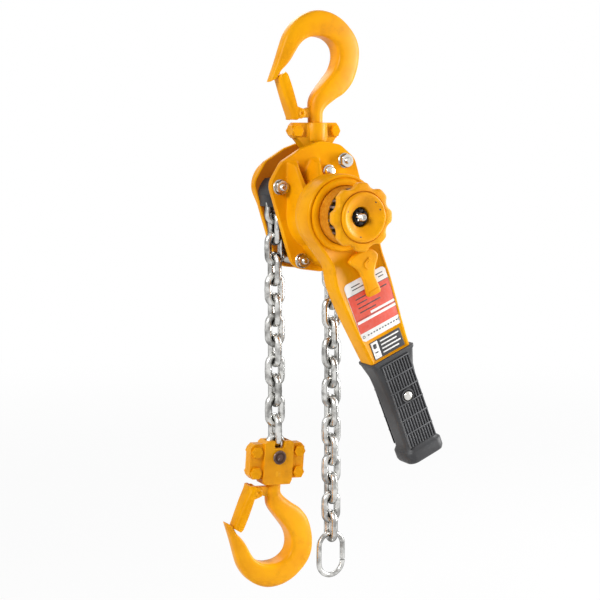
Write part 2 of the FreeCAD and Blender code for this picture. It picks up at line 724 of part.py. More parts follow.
def hookShape():
    wires = [roundedSection(*section) for section in hookSections]
    curve = Part.makeLoft(wires, True, False)
    face = -S.blockRise.value
    shank = [(0, face + 3), (S.shankRadius, face + 3), (S.shankRadius, face + 0.3),
             (S.neckRadius, face + 0.3), (S.neckRadius, face - S.neckLength.value),
             (S.hookCollar, face - S.neckLength.value),
             (S.hookCollar, face - (S.neckLength + S.collarHeight).value),
             (0, face - (S.neckLength + S.collarHeight).value)]
    points = [Vector(float(radius), 0, up) for radius, up in shank]
    turnedShank = Part.Face(Part.makePolygon(points + [points[0]]))
    turnedShank = turnedShank.revolve(Vector(), Vector(0, 0, 1), 360)
    lugCorners = [(latchPivot[0], -81.5), (-4, -81.0), (-4, -66), (latchPivot[0] + 3, -72.3)]
    lug = Part.Face(Part.makePolygon([Vector(x, -4.5, z) for x, z in lugCorners + lugCorners[:1]]))
    lug = lug.extrude(Vector(0, 9, 0))
    lug = lug.fuse(Part.makeCylinder(5, 9, Vector(latchPivot[0], -4.5, latchPivot[1]),
                                     Vector(0, 1, 0)))
    shape = curve.fuse([turnedShank, lug])
    shape = shape.cut(Part.makeCylinder(S.latchPinRadius.value, 30,
                                        Vector(latchPivot[0], -15, latchPivot[1]),
                                        Vector(0, 1, 0)))
    return shape.removeSplitter()


hook = hookShape()
shaped("top_hook", hook, Placement())

# lower block's frame: the chain pin is its origin

wheelAngle = math.radians(S.wheelStart.value) + math.asin(innerReach.value / wheel)
leftLeave = (wheel * math.cos(wheelAngle), wheel * math.sin(wheelAngle))
rightAngle = math.radians(S.wheelStart.value - 144) - math.asin(innerReach.value / wheel)
rightLeave = (wheel * math.cos(rightAngle), wheel * math.sin(rightAngle))
linkStep = S.pitch.value - S.chainPlay.value
lastLink = leftLeave[1] + S.hangLift.value - crownReach.value - linkStep * (S.hookLinks.value - 1)
pinUp = lastLink - S.pitch.value / 2 + S.chainPinRadius.value + S.chainPinPlay.value
chainPin = Vector(leftLeave[0] - S.hookAcross.value, 0, pinUp - S.saddleRise.value)
blockTurn = Rotation(Vector(0, 1, 0), S.lowerLean.value)
lowerFrame = Placement(chainPin, blockTurn)
lowerHookFrame = lowerFrame.multiply(
    Placement(Vector(0, 0, -S.lowerDrop.value), Rotation(Vector(1, 0, 0), 180)))
shaped("bottom_hook", hook, lowerHookFrame)

latchOutline = loop(
    (-40.9, -35.6), (-45.1, -46.3), (-39.7, -60.6), (-33.1, -77.9), (-30.0, -82.8),
    (-24.3, -82.8), (-16.0, -80.5), (-14.8, -76.5), (-16.5, -72.6), (-23.1, -71.2),
    (-24.8, -63.5), (-29.7, -44.4), (-33.0, -36.9))
latchInside = loop(
    (-40.6, -38.5), (-42.6, -46.2), (-37.4, -60.6), (-31.0, -77.5), (-28.5, -90), (-8, -90),
    (-8, -60), (-22, -62), (-27, -44.4), (-30.5, -38.5))
for name, pinName, frame in (("top_latch", "top_latch_pin", Placement()),
                             ("bottom_latch", "bottom_latch_pin", lowerHookFrame)):
    latch = body(name, frame)
    grow(latch, -6.8, 6.8, latchOutline)
    cut(latch, -4.8, 4.8, latchInside)
    cut(latch, -6.8, 6.8, ring(*latchPivot, S.latchPinRadius + S.runFit))
    pin = bar(S.latchPinRadius, latchPivot[0], latchPivot[1], -8.2, 8.2)
    shaped(pinName, pin, frame)
doc.recompute()

# hook blocks, each of two halves that meet at the chain's plane

blockFace = S.blockRise
collarTop = -S.neckLength + S.runFit
collarFoot = collarTop - S.collarHeight - 0.5
boltUp = -8.0
boltAcross = 22.0


def yokeHalf(label, frame, outlines, slots, holes):
    """One half of a block: outlines grow forward from the split face."""
    half = body(label, frame)
    for depth, outline in outlines:
        grow(half, 0, depth, outline)
    turned(half, [(0, 1), (S.neckRadius + S.runFit, 1), (S.neckRadius + S.runFit, collarTop),
                  (S.hookCollar + 0.3, collarTop), (S.hookCollar + 0.3, collarFoot),
                  (0, collarFoot)], "Groove", "XZ_Plane")
    for depth, outline in slots:
        cut(half, 0, depth, outline)
    cut(half, 0, 20, *holes)
    return half


turnedAbout = Rotation(Vector(0, 0, 1), 180)
topFace = Placement(Vector(0, 0, -blockFace.value), Rotation())
pinDrop = S.topPinRise - (S.saddleRise - S.blockRise)
topOutlines = [
    (6.0, loop((-27, -3), (-24, 0), (24, 0), (27, -3), (27, -12), (24, -15), (-24, -15), (-27, -12))),
    (12.0, loop((-10.5, 0), (10.5, 0), (11.5, -4), (11.5, -17), (8, -21.5), (-8, -21.5),
                (-11.5, -17), (-11.5, -4))),
    (8.0, loop((-23, -14), (23, -14), (9, pinDrop), (-9, pinDrop))),
    (8.0, ring(0, pinDrop, 9))]
topHoles = [ring(0, pinDrop, S.topPinRadius + S.runFit)]
yokeHalf("top_block_front", topFace, topOutlines, [], topHoles)
yokeHalf("top_block_rear", topFace.multiply(Placement(Vector(), turnedAbout)), topOutlines, [],
         topHoles)

# the lower block's face looks down, so its outline is turned over
faceDrop = S.lowerDrop - S.blockRise
lowFace = lowerFrame.multiply(
    Placement(Vector(0, 0, -faceDrop.value), Rotation(Vector(1, 0, 0), 180)))
lowOutlines = [
    (6.0, loop((-30, -9), (-26, -5), (26, -5), (30, -9), (30, -35), (26, -39), (-26, -39), (-30, -35))),
    (10.0, loop((-14, 0), (14, 0), (16, -4), (16, -39.5), (13, -42), (-13, -42), (-16, -39.5),
                (-16, -4)))]
linkHalf = S.linkWidth / 2 + 1.6
lowSlots = [
    (S.wire / 2 + 0.35, loop(
        (-linkHalf, -44), (linkHalf, -44), (linkHalf, -faceDrop), (10.5, -faceDrop + 9),
        (5, -faceDrop + 12.2), (-5, -faceDrop + 12.2), (-10.5, -faceDrop + 9),
        (-linkHalf, -faceDrop))),
    (12.0, loop((-5.2, -44), (5.2, -44), (5.2, -faceDrop - 8.9), (-5.2, -faceDrop - 8.9)))]
lowHoles = [ring(0, -faceDrop, S.chainPinRadius)]
yokeHalf("bottom_block_front", lowFace.multiply(Placement(Vector(), turnedAbout)), lowOutlines,
         lowSlots, lowHoles)
yokeHalf("bottom_block_rear", lowFace, lowOutlines, lowSlots, lowHoles)

for name, frame, spots in (
        ("top_block_bolts", topFace, [(-boltAcross, boltUp), (boltAcross, boltUp)]),
        ("bottom_block_bolts", lowFace.multiply(Placement(Vector(), turnedAbout)),
         [(side * 23.7, up) for side in (-1, 1) for up in (-11.0, -31.0)])):
    group = body(name, frame)
    grow(group, 6, 10, *[hexagon(x, z, 10.5) for x, z in spots])
    grow(group, -10.2, -6, *[hexagon(x, z, 10.0) for x, z in spots])

shaped("chain_pin", bar(S.chainPinRadius, 0, 0, -10, 10), lowerFrame)

# load chain: six-sided wire, round bends, each link centred on its own origin


def bentLoop(across, straight, radius, sides, turns):
    """A long ring of straight mitred runs, centred on its own origin in the XZ plane."""
    path = []
    for end in (1, -1):
        for index in range(turns + 1):
            path.append((math.pi * index / turns + (math.pi if end < 0 else 0), end))
    rings = []
    for angle, end in path:
        centre = Vector(across * math.cos(angle), 0, end * straight + across * math.sin(angle))
        outward = Vector(math.cos(angle), 0, math.sin(angle))
        corners = []
        for index in range(sides):
            turn = 2 * math.pi * index / sides
            corners.append(centre + outward * (radius * math.cos(turn))
                           + Vector(0, radius * math.sin(turn), 0))
        rings.append(corners)
    faces = []
    count = len(rings)
    for index in range(count):
        one, two = rings[index], rings[(index + 1) % count]
        for side in range(sides):
            after = (side + 1) % sides
            faces.append(Part.Face(Part.makePolygon([one[side], one[after], two[after], two[side],
                                                     one[side]])))
    return Part.makeSolid(Part.makeShell(faces))


def linkShape():
    """One link, long along Z and flat in the XZ plane."""
    across = S.linkWidth.value / 2 - S.wire.value / 2
    return bentLoop(across, crownReach.value - across, S.wire.value / 2, 6, 4)


link = linkShape()


def linkAt(across, up, lean, flat):
    """A link at a place; a flat one is turned a quarter about its own length."""
    turn = Rotation(Vector(0, 1, 0), lean)
    if flat:
        turn = turn.multiply(Rotation(Vector(0, 0, 1), 90))
    one = link.copy()
    one.Placement = Placement(Vector(across, 0, up), turn)
    return one


wrapped = []
for index in range(5):
    polar = S.wheelStart.value - 36 * index
    place2 = uprightPlace if index % 2 == 0 else flatPlace
    wrapped.append(linkAt(place2 * math.cos(math.radians(polar)),
                          place2 * math.sin(math.radians(polar)), -polar, index % 2 == 1))
leftUp = [leftLeave[1] + S.hangLift.value - crownReach.value - linkStep * index
          for index in range(int(S.hookLinks.value))]
rightUp = [rightLeave[1] + S.hangLift.value - crownReach.value - linkStep * index
           for index in range(int(S.freeLinks.value))]
wrapped.append(linkAt(leftLeave[0], leftUp[0], 0, True))
wrapped.append(linkAt(rightLeave[0], rightUp[0], 0, True))
shaped("wrapped_chain", Part.makeCompound(wrapped))

# each strand: its first links swing sideways, the rest also swings forward and back
for name, across, ups, first, last in (
        ("hook_chain_top", leftLeave[0], leftUp, 1, 2),
        ("hook_chain", leftLeave[0], leftUp, 2, len(leftUp)),
        ("free_chain_top", rightLeave[0], rightUp, 1, 4),
        ("free_chain", rightLeave[0], rightUp, 4, len(rightUp))):
    links = [linkAt(across, ups[index], 0, index % 2 == 0) for index in range(first, last)]
    shaped(name, Part.makeCompound(links))

# end ring on the last free link, bent from thinner wire

endUp = rightUp[-1]
ringWire = 2.6
endHalf = 13.8
endStraight = 8.5
lowCrown = endUp - crownReach.value
topOfRing = lowCrown + halfWire.value + ringWire + 0.05


def openRing():
    """A long ring with a small gap in its right leg."""
    whole = bentLoop(endHalf, endStraight, ringWire, 6, 8)
    return whole.cut(Part.makeBox(12, 12, 1.6, Vector(endHalf - 6, -6, -endStraight)))


ringCentre = topOfRing - endHalf - endStraight
shaped("end_ring", openRing(),
       Placement(Vector(rightLeave[0] - S.hookAcross.value, 0, ringCentre - S.saddleRise.value),
                 Rotation()))

doc.recompute()

for thing in doc.Objects:
    for word in ("Invalid", "Error"):
        if word in thing.State:
            raise ValueError("%s is %s" % (thing.Label, word))
labels = [part.Label for part in parts]
if len(set(labels)) != len(labels):
    raise ValueError("two pieces share a name")
for part in parts:
    if part.Shape.isNull() or not part.Shape.isValid():
        raise ValueError("%s has no valid shape" % part.Label)

os.makedirs("parts", exist_ok=True)
for part in parts:
    part.Shape.exportStep("parts/%s.step" % part.Label)
print("pieces:", len(parts))
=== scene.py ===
import math
import bpy
import bmesh
from mathutils import Matrix, Vector


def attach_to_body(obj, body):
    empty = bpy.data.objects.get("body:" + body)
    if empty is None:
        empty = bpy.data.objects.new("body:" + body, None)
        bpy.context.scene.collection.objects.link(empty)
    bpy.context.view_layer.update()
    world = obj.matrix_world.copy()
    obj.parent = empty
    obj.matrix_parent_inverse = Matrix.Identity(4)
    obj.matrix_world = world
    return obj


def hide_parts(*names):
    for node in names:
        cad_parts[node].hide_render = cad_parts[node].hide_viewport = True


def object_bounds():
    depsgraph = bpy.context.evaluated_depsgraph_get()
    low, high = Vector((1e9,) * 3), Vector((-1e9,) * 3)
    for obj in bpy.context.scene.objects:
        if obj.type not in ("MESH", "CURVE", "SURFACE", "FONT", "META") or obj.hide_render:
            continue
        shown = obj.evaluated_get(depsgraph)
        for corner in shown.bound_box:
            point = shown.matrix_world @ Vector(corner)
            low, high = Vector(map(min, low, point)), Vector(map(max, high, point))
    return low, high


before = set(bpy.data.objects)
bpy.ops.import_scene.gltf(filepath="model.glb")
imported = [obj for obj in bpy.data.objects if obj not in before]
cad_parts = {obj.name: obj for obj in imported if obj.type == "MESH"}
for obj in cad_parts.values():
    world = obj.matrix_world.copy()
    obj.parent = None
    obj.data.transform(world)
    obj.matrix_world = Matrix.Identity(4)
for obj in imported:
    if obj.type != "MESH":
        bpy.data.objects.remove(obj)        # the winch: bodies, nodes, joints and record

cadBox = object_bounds()
scene = bpy.context.scene

# the winch's own places, in millimetres; forward is towards the lever, which is -Y
layout = {
    "shaft": (-12.2, 0.0, -170.7),
    "leverLean": 22.0,
    "selector": (5.406, 0.0, -214.278),
    "chainPin": (-44.994, 0.0, -412.831),
    "blockLean": 4.5,
    "hookDrop": 111.0,
    "plateInside": 14.3,
    "plateOutside": 18.3,
}


def moved(x, y, z):
    return Matrix.Translation((x, y, z))


def spun(degrees, axis="Y"):
    return Matrix.Rotation(math.radians(degrees), 4, axis)


toMetres = Matrix.Scale(0.001, 4)
shaftFrame = toMetres @ moved(*layout["shaft"])
leverFrame = shaftFrame @ spun(-layout["leverLean"])
lowFrame = toMetres @ moved(*layout["chainPin"]) @ spun(layout["blockLean"])
lowHookFrame = lowFrame @ moved(0, 0, -layout["hookDrop"]) @ spun(180, "X")

# camera

view = {"target": (-0.01679, 0.0, -0.25898), "turn": -28.77, "rise": 7.54, "away": 1.318, "lens": 80.05,
        "sensor": 36.0}


def facing(direction):
    return direction.to_track_quat("Z", "Y").to_euler()


def placeCamera():
    lens = bpy.data.cameras.new("photoLens")
    lens.lens = view["lens"]
    lens.sensor_width = view["sensor"]
    camera = bpy.data.objects.new("photoCamera", lens)
    turn, rise = math.radians(view["turn"]), math.radians(view["rise"])
    back = Vector((math.sin(turn) * math.cos(rise), -math.cos(turn) * math.cos(rise), math.sin(rise)))
    camera.location = Vector(view["target"]) + back * view["away"]
    camera.rotation_euler = facing(back)
    scene.collection.objects.link(camera)
    scene.camera = camera


placeCamera()
print("camera placed")

# effects that the finishes share


def newGroup(name, inputs, outputs):
    group = bpy.data.node_groups.new(name, "ShaderNodeTree")
    for label, kind, value in inputs:
        socket = group.interface.new_socket(name=label, in_out="INPUT", socket_type="NodeSocket" + kind)
        socket.default_value = value
    for label, kind in outputs:
        group.interface.new_socket(name=label, in_out="OUTPUT", socket_type="NodeSocket" + kind)
    return group, group.nodes.new("NodeGroupInput"), group.nodes.new("NodeGroupOutput")


def setInputs(node, **values):
    for label, value in values.items():
        node.inputs[label.replace("_", " ")].default_value = value


def fill(tree, socket, value):
    # links another node's output, or sets a plain value
    if isinstance(value, bpy.types.NodeSocket):
        tree.links.new(value, socket)
    else:
        socket.default_value = value


def noiseNode(tree, scale, detail, rough=0.55):
    spot = tree.nodes.new("ShaderNodeTexCoord")
    noise = tree.nodes.new("ShaderNodeTexNoise")
    setInputs(noise, Detail=detail, Roughness=rough)
    tree.links.new(spot.outputs["Object"], noise.inputs["Vector"])
    tree.links.new(scale, noise.inputs["Scale"])
    return noise.outputs["Fac"]


def rampNode(tree, source, low, high, lowValue=0.0, highValue=1.0):
    spread = tree.nodes.new("ShaderNodeMapRange")
    spread.interpolation_type = "SMOOTHSTEP"
    setInputs(spread, From_Min=low, From_Max=high, To_Min=lowValue, To_Max=highValue)
    tree.links.new(source, spread.inputs["Value"])
    return spread.outputs["Result"]


def mathNode(tree, work, one, two):
    node = tree.nodes.new("ShaderNodeMath")
    node.operation = work
    fill(tree, node.inputs[0], one)
    fill(tree, node.inputs[1], two)
    return node.outputs[0]


def mixColor(tree, amount, one, two):
    node = tree.nodes.new("ShaderNodeMix")
    node.data_type = "RGBA"
    fill(tree, node.inputs["Factor"], amount)
    fill(tree, node.inputs[6], one)
    fill(tree, node.inputs[7], two)
    return node.outputs[2]


masks = {
    # which edges or hollows count, the noise that breaks them up and how the two join
    # the edge mask lightens edges: wear, and a painted highlight where edges catch the light
    "edgeWearAndGlint": {"scale": 400.0, "amount": 0.5, "edge": (0.53, 0.62), "noise": (5.0, 0.65),
                 "patch": (0.42, 0.62), "share": 1.0, "join": "MULTIPLY"},
    # the hollow mask darkens hollows: dust in patches, and a painted shade in the creases
    "dustAndCreaseShade": {"scale": 60.0, "amount": 0.3, "edge": (0.5, 0.42), "noise": (6.0, 0.7),
                     "patch": (0.5, 0.75), "share": 0.6, "join": "MAXIMUM"},
}


def buildMask(name):
    # two masks: worn edges that also carry a painted highlight; dust and old oil in patches, with a painted
    # shade settled into the hollows
    values = masks[name]
    inputs = [(word, "Float", values[word.lower()]) for word in ("Scale", "Amount")]
    group, start, end = newGroup(name, inputs, [("Mask", "Float")])
    shape = group.nodes.new("ShaderNodeNewGeometry")
    edge = rampNode(group, shape.outputs["Pointiness"], *values["edge"])
    patch = rampNode(group, noiseNode(group, start.outputs["Scale"], *values["noise"]), *values["patch"])
    both = mathNode(group, values["join"], edge, mathNode(group, "MULTIPLY", patch, values["share"]))
    group.links.new(mathNode(group, "MULTIPLY", both, start.outputs["Amount"]), end.inputs["Mask"])
    return group


coat = {"driftDetail": 3.0, "driftBand": (0.35, 0.7), "peelDetail": 2.0, "roughBand": (0.3, 0.7)}


def buildFilm():
    # slow colour drift, fine orange peel and a roughness that follows the drift
    group, start, end = newGroup(
        "coatFilm",
        [("Base", "Color", (0.8, 0.8, 0.8, 1)), ("Deep", "Color", (0.5, 0.5, 0.5, 1)),
         ("Drift", "Float", 25.0), ("Peel", "Float", 900.0), ("Rough Low", "Float", 0.25),
         ("Rough High", "Float", 0.4)],
        [("Color", "Color"), ("Roughness", "Float"), ("Height", "Float")])
    join = group.links.new
    drift = noiseNode(group, start.outputs["Drift"], coat["driftDetail"])
    amount = rampNode(group, drift, *coat["driftBand"])
    join(mixColor(group, amount, start.outputs["Base"], start.outputs["Deep"]), end.inputs["Color"])
    join(noiseNode(group, start.outputs["Peel"], coat["peelDetail"]), end.inputs["Height"])
    spread = group.nodes.new("ShaderNodeMapRange")
    setInputs(spread, From_Min=coat["roughBand"][0], From_Max=coat["roughBand"][1])
    join(drift, spread.inputs["Value"])
    join(start.outputs["Rough Low"], spread.inputs["To Min"])
    join(start.outputs["Rough High"], spread.inputs["To Max"])
    join(spread.outputs["Result"], end.inputs["Roughness"])
    return group


edgeWearAndGlint, coatFilm, dustAndCreaseShade = buildMask("edgeWearAndGlint"), buildFilm(), buildMask("dustAndCreaseShade")

# finishes

plainLook = {"drift": 25.0, "peel": 900.0, "wearAndGlintScale": 400.0, "wearAndGlint": 0.4, "dustAndShadeScale": 60.0, "dustAndShade": 0.2,
             "dustDulls": 0.35, "metal": 0.0, "gloss": 0.5, "coat": 0.0, "coatRough": 0.12, "edge": (1, 1, 1),
             "bump": 0.08, "bumpDepth": 0.0004}
# paint: a lighter amber on the edges for wear and a painted highlight, and a dark brown in the hollows for
# dust and a painted shade
paint = {"base": (0.85, 0.37, 0.001), "deep": (0.75, 0.29, 0.001), "wornAndLitEdge": (0.95, 0.54, 0.05),
         "soilAndShade": (0.34, 0.10, 0.002), "rough": (0.26, 0.38), "wearAndGlint": 0.35, "dustAndShade": 0.5, "peel": 1400.0,
         "bump": 0.05, "gloss": 0.08}
rubber = {"base": (0.03, 0.031, 0.034), "deep": (0.02, 0.02, 0.022), "wornAndLitEdge": (0.085, 0.085, 0.09),
          "soilAndShade": (0.075, 0.07, 0.062), "rough": (0.42, 0.56), "wearAndGlint": 0.35, "dustAndShade": 0.25, "peel": 2200.0,
          "bump": 0.18, "bumpDepth": 0.0003}
printed = {"base": (0.86, 0.85, 0.83), "deep": (0.8, 0.79, 0.77), "wornAndLitEdge": (0.6, 0.6, 0.6),
           "soilAndShade": (0.35, 0.3, 0.25), "rough": (0.3, 0.4), "wearAndGlint": 0.2, "dustAndShade": 0.25, "coat": 0.3}
looks = {
    "amberPaint": paint,
    # a deeper amber: painted shade for the collar in the hollow behind the knob
    "shadedPaint": dict(paint, base=(0.62, 0.21, 0.006), deep=(0.5, 0.15, 0.004)),
    # a dark brown amber: painted shade on the plates' inner faces
    "plateShadePaint": dict(paint, base=(0.5, 0.145, 0.006), deep=(0.38, 0.1, 0.005), dustAndShade=0.6),
    "castAmberPaint": dict(paint, peel=700.0, bump=0.14, bumpDepth=0.0005, rough=(0.3, 0.42), gloss=0.16),
    # chain: a near-black in the hollows, painted shade between the links as well as grime
    "platedChain": {"base": (0.74, 0.735, 0.71), "deep": (0.3, 0.296, 0.284), "wornAndLitEdge": (0.9, 0.89, 0.87),
                    "soilAndShade": (0.045, 0.042, 0.038), "rough": (0.17, 0.3), "metal": 1.0, "wearAndGlint": 0.5,
                    "dustAndShade": 0.7, "drift": 120.0, "peel": 1600.0, "bump": 0.1, "edge": (0.05, 0.05, 0.05)},
    "zincPlate": {"base": (0.74, 0.73, 0.70), "deep": (0.58, 0.56, 0.5), "wornAndLitEdge": (0.9, 0.89, 0.87),
                  "soilAndShade": (0.12, 0.1, 0.08), "rough": (0.16, 0.3), "metal": 1.0, "dustAndShade": 0.5,
                  "drift": 200.0, "peel": 1500.0, "bump": 0.06, "edge": (0.1, 0.1, 0.1)},
    "oiledSteel": {"base": (0.13, 0.075, 0.06), "deep": (0.06, 0.03, 0.025), "wornAndLitEdge": (0.4, 0.36, 0.33),
                   "soilAndShade": (0.02, 0.012, 0.01), "rough": (0.28, 0.45), "metal": 0.85, "wearAndGlint": 0.6,
                   "dustAndShade": 0.5},
    "blackCoat": {"base": (0.012, 0.012, 0.015), "deep": (0.008, 0.008, 0.009), "wornAndLitEdge": (0.1, 0.1, 0.1),
                  "soilAndShade": (0.05, 0.045, 0.04), "rough": (0.35, 0.5), "wearAndGlint": 0.25, "dustAndShade": 0.15,
                  "gloss": 0.3},
    "gripRubber": rubber,
    # a lighter grey: painted highlight on the raised ribs
    "ribHighlightRubber": dict(rubber, base=(0.085, 0.087, 0.092), deep=(0.05, 0.051, 0.055)),
    "labelWhite": printed,
    "labelRed": dict(printed, base=(0.72, 0.075, 0.035), deep=(0.66, 0.06, 0.03)),
    "labelBlack": dict(printed, base=(0.022, 0.022, 0.024), deep=(0.03, 0.03, 0.03)),
}


def placeGroup(tree, group, **values):
    node = tree.nodes.new("ShaderNodeGroup")
    node.node_tree = group
    setInputs(node, **values)
    return node


def newMaterial(name):
    material = bpy.data.materials.new(name)
    material.use_nodes = True
    return material, material.node_tree, material.node_tree.nodes["Principled BSDF"]


def coated(name, own):
    # paint, plating, oxide or rubber: a film with wear and a painted highlight on its edges, and dust and a
    # painted shade in its hollows
    look = dict(plainLook, **own)
    material, tree, shader = newMaterial(name)
    film = placeGroup(tree, coatFilm, Base=(*look["base"], 1), Deep=(*look["deep"], 1), Drift=look["drift"],
                      Peel=look["peel"], Rough_Low=look["rough"][0], Rough_High=look["rough"][1])
    wearAndGlint = placeGroup(tree, edgeWearAndGlint, Scale=look["wearAndGlintScale"], Amount=look["wearAndGlint"]).outputs["Mask"]
    dustAndShade = placeGroup(tree, dustAndCreaseShade, Scale=look["dustAndShadeScale"], Amount=look["dustAndShade"]).outputs["Mask"]
    # edges lightened: wear, and a painted highlight
    wornAndLit = mixColor(tree, wearAndGlint, film.outputs["Color"], (*look["wornAndLitEdge"], 1))
    # hollows darkened: dust, and a painted shade
    tree.links.new(mixColor(tree, dustAndShade, wornAndLit, (*look["soilAndShade"], 1)), shader.inputs["Base Color"])
    dull = mathNode(tree, "MULTIPLY", dustAndShade, look["dustDulls"])
    tree.links.new(mathNode(tree, "ADD", film.outputs["Roughness"], dull), shader.inputs["Roughness"])
    setInputs(shader, Metallic=look["metal"], Specular_IOR_Level=look["gloss"], Coat_Weight=look["coat"],
              Coat_Roughness=look["coatRough"], Specular_Tint=(*look["edge"], 1))
    bump = tree.nodes.new("ShaderNodeBump")
    setInputs(bump, Strength=look["bump"], Distance=look["bumpDepth"])
    tree.links.new(film.outputs["Height"], bump.inputs["Height"])
    tree.links.new(bump.outputs["Normal"], shader.inputs["Normal"])
    return material


finish = {name: coated(name, look) for name, look in looks.items()}
print("materials made")

# mesh tools


def turnsOf(count):
    return [2 * math.pi * index / count for index in range(count)]


def soft(value):
    value = max(0.0, min(1.0, value))
    return value * value * (3 - 2 * value)


def spotAt(radius, forward, turn, centre=(0, 0)):
    # a point at a radius and a turn about a line that runs forward
    return Vector((centre[0] + radius * math.cos(turn), -forward, centre[1] + radius * math.sin(turn)))


def skin(work, rings, closed=False, caps=True):
    # joins rings of points with faces, and caps both ends of an open run
    rows = [[work.verts.new(point) for point in ring] for ring in rings]
    count = len(rows[0])
    pairs = list(zip(rows, rows[1:]))
    if closed:
        pairs.append((rows[-1], rows[0]))
    for one, two in pairs:
        for index in range(count):
            after = (index + 1) % count
            work.faces.new((one[index], one[after], two[after], two[index]))
    if caps and not closed:
        work.faces.new(rows[0][::-1])
        work.faces.new(rows[-1])


def lathe(work, profile, centre=(0, 0), flats=None, count=48, hollow=False):
    # turns (radius, forward) pairs about a line through centre; flats cuts the outside to a hexagon
    rings = []
    for radius, forward in profile:
        ring = []
        for turn in turnsOf(count):
            reach = radius
            if flats:
                lean = (turn + math.pi / 6) % (math.pi / 3) - math.pi / 6
                reach = min(radius, flats / 2 / math.cos(lean))
            ring.append(spotAt(reach, forward, turn, centre))
        rings.append(ring)
    skin(work, rings, hollow)


def mirrored(half):
    # a profile that is the same at its rear end as at its front end
    return [(radius, -forward) for radius, forward in half] + half[::-1]


def inset(outline, amount, tightest=0.35):
    # an outline moved inwards by an amount, corner by corner
    area = sum(a[0] * b[1] - b[0] * a[1] for a, b in zip(outline, outline[1:] + outline[:1]))
    sign = 1 if area > 0 else -1
    moves = []
    for index, here in enumerate(outline):
        before, after = outline[index - 1], outline[(index + 1) % len(outline)]
        one = Vector((here[0] - before[0], here[1] - before[1])).normalized()
        two = Vector((after[0] - here[0], after[1] - here[1])).normalized()
        normal = Vector((-one.y - two.y, one.x + two.x)).normalized()
        scale = max(tightest, normal.dot(Vector((-one.y, one.x))))
        moves.append((here[0] + sign * normal.x * amount / scale, here[1] + sign * normal.y * amount / scale))
    return moves


def stacked(work, layers):
    # a solid built from (outline, forward) pairs, from the rear to the front
    skin(work, [[Vector((x, -forward, z)) for x, z in outline] for outline, forward in layers])


def slab(work, outline, rear, front, edge=0.4, share=0.3):
    # a plate between two forward stations, with its edges taken off
    part = edge * share
    stations = [(edge, rear), (part, rear + part), (0, rear + edge), (0, front - edge), (part, front - part),
                (edge, front)]
    stacked(work, [(inset(outline, amount), forward) for amount, forward in stations])


def attach(made, body, replaced):
    if replaced:
        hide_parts(*replaced)
    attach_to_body(made, body)


def piece(name, work, place, body, material, replaced=(), sharp=40):
    # turns a mesh that is drawn in millimetres into a piece that rides on a body
    work.transform(place)
    bmesh.ops.recalc_face_normals(work, faces=work.faces)
    mesh = bpy.data.meshes.new(name)
    work.to_mesh(mesh)
    work.free()
    mesh.shade_smooth()
    mesh.set_sharp_from_angle(angle=math.radians(sharp))
    mesh.materials.append(finish[material])
    made = bpy.data.objects.new(name, mesh)
    scene.collection.objects.link(made)
    attach(made, body, replaced)


rounding = {"join": 2e-6, "flat": 0.8, "steps": 3, "from": 30, "sharp": 60}      # metres and degrees


def softened(node, body, material, width, reshape):
    # a forged, pressed or cast piece: the drawn solid, reshaped a little, with its edges rounded
    work = bmesh.new()
    work.from_mesh(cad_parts[node].data)
    for vertex in work.verts:
        vertex.co = reshape(vertex.co)
    bmesh.ops.remove_doubles(work, verts=work.verts, dist=rounding["join"])
    bmesh.ops.dissolve_limit(work, angle_limit=math.radians(rounding["flat"]), verts=work.verts,
                             edges=work.edges)
    mesh = bpy.data.meshes.new(node + "_soft")
    work.to_mesh(mesh)
    work.free()
    made = bpy.data.objects.new(node + "_soft", mesh)
    scene.collection.objects.link(made)
    bevel = made.modifiers.new("roundedEdge", "BEVEL")
    bevel.width = width / 1000
    bevel.segments = rounding["steps"]
    bevel.limit_method = "ANGLE"
    bevel.angle_limit = math.radians(rounding["from"])
    bevel.miter_outer = "MITER_ARC"
    made.modifiers.new("flatFaces", "WEIGHTED_NORMAL").keep_sharp = True
    mesh.shade_smooth()
    mesh.set_sharp_from_angle(angle=math.radians(rounding["sharp"]))
    made.data = bpy.data.meshes.new_from_object(made.evaluated_get(bpy.context.evaluated_depsgraph_get()))
    made.modifiers.clear()
    made.data.materials.clear()
    made.data.materials.append(finish[material])
    attach(made, body, [node])


def between(a, b, c, d, t):
    # a point on the curve from b to c, which comes from a and goes on to d
    return [0.5 * (2 * q + (r - p) * t + (2 * p - 5 * q + 4 * r - s) * t * t
                   + (3 * q - p - 3 * r + s) * t ** 3) for p, q, r, s in zip(a, b, c, d)]


def smoothRun(rows, fine):
    # points between the rows, on a curve through all of them
    run, last = [], len(rows) - 1
    for index in range(last):
        near = [rows[max(0, min(last, index + step))] for step in (-1, 0, 1, 2)]
        run += [between(*near, step / fine) for step in range(fine)]
    return run + [list(rows[-1])]


def smoothLoop(points, fine=5):
    # a closed curve through a few outline points
    run = []
    for index in range(len(points)):
        near = [points[(index + step) % len(points)] for step in (-1, 0, 1, 2)]
        run += [between(*near, step / fine) for step in range(fine)]
    return run


# hooks, the lower one upside down below its block

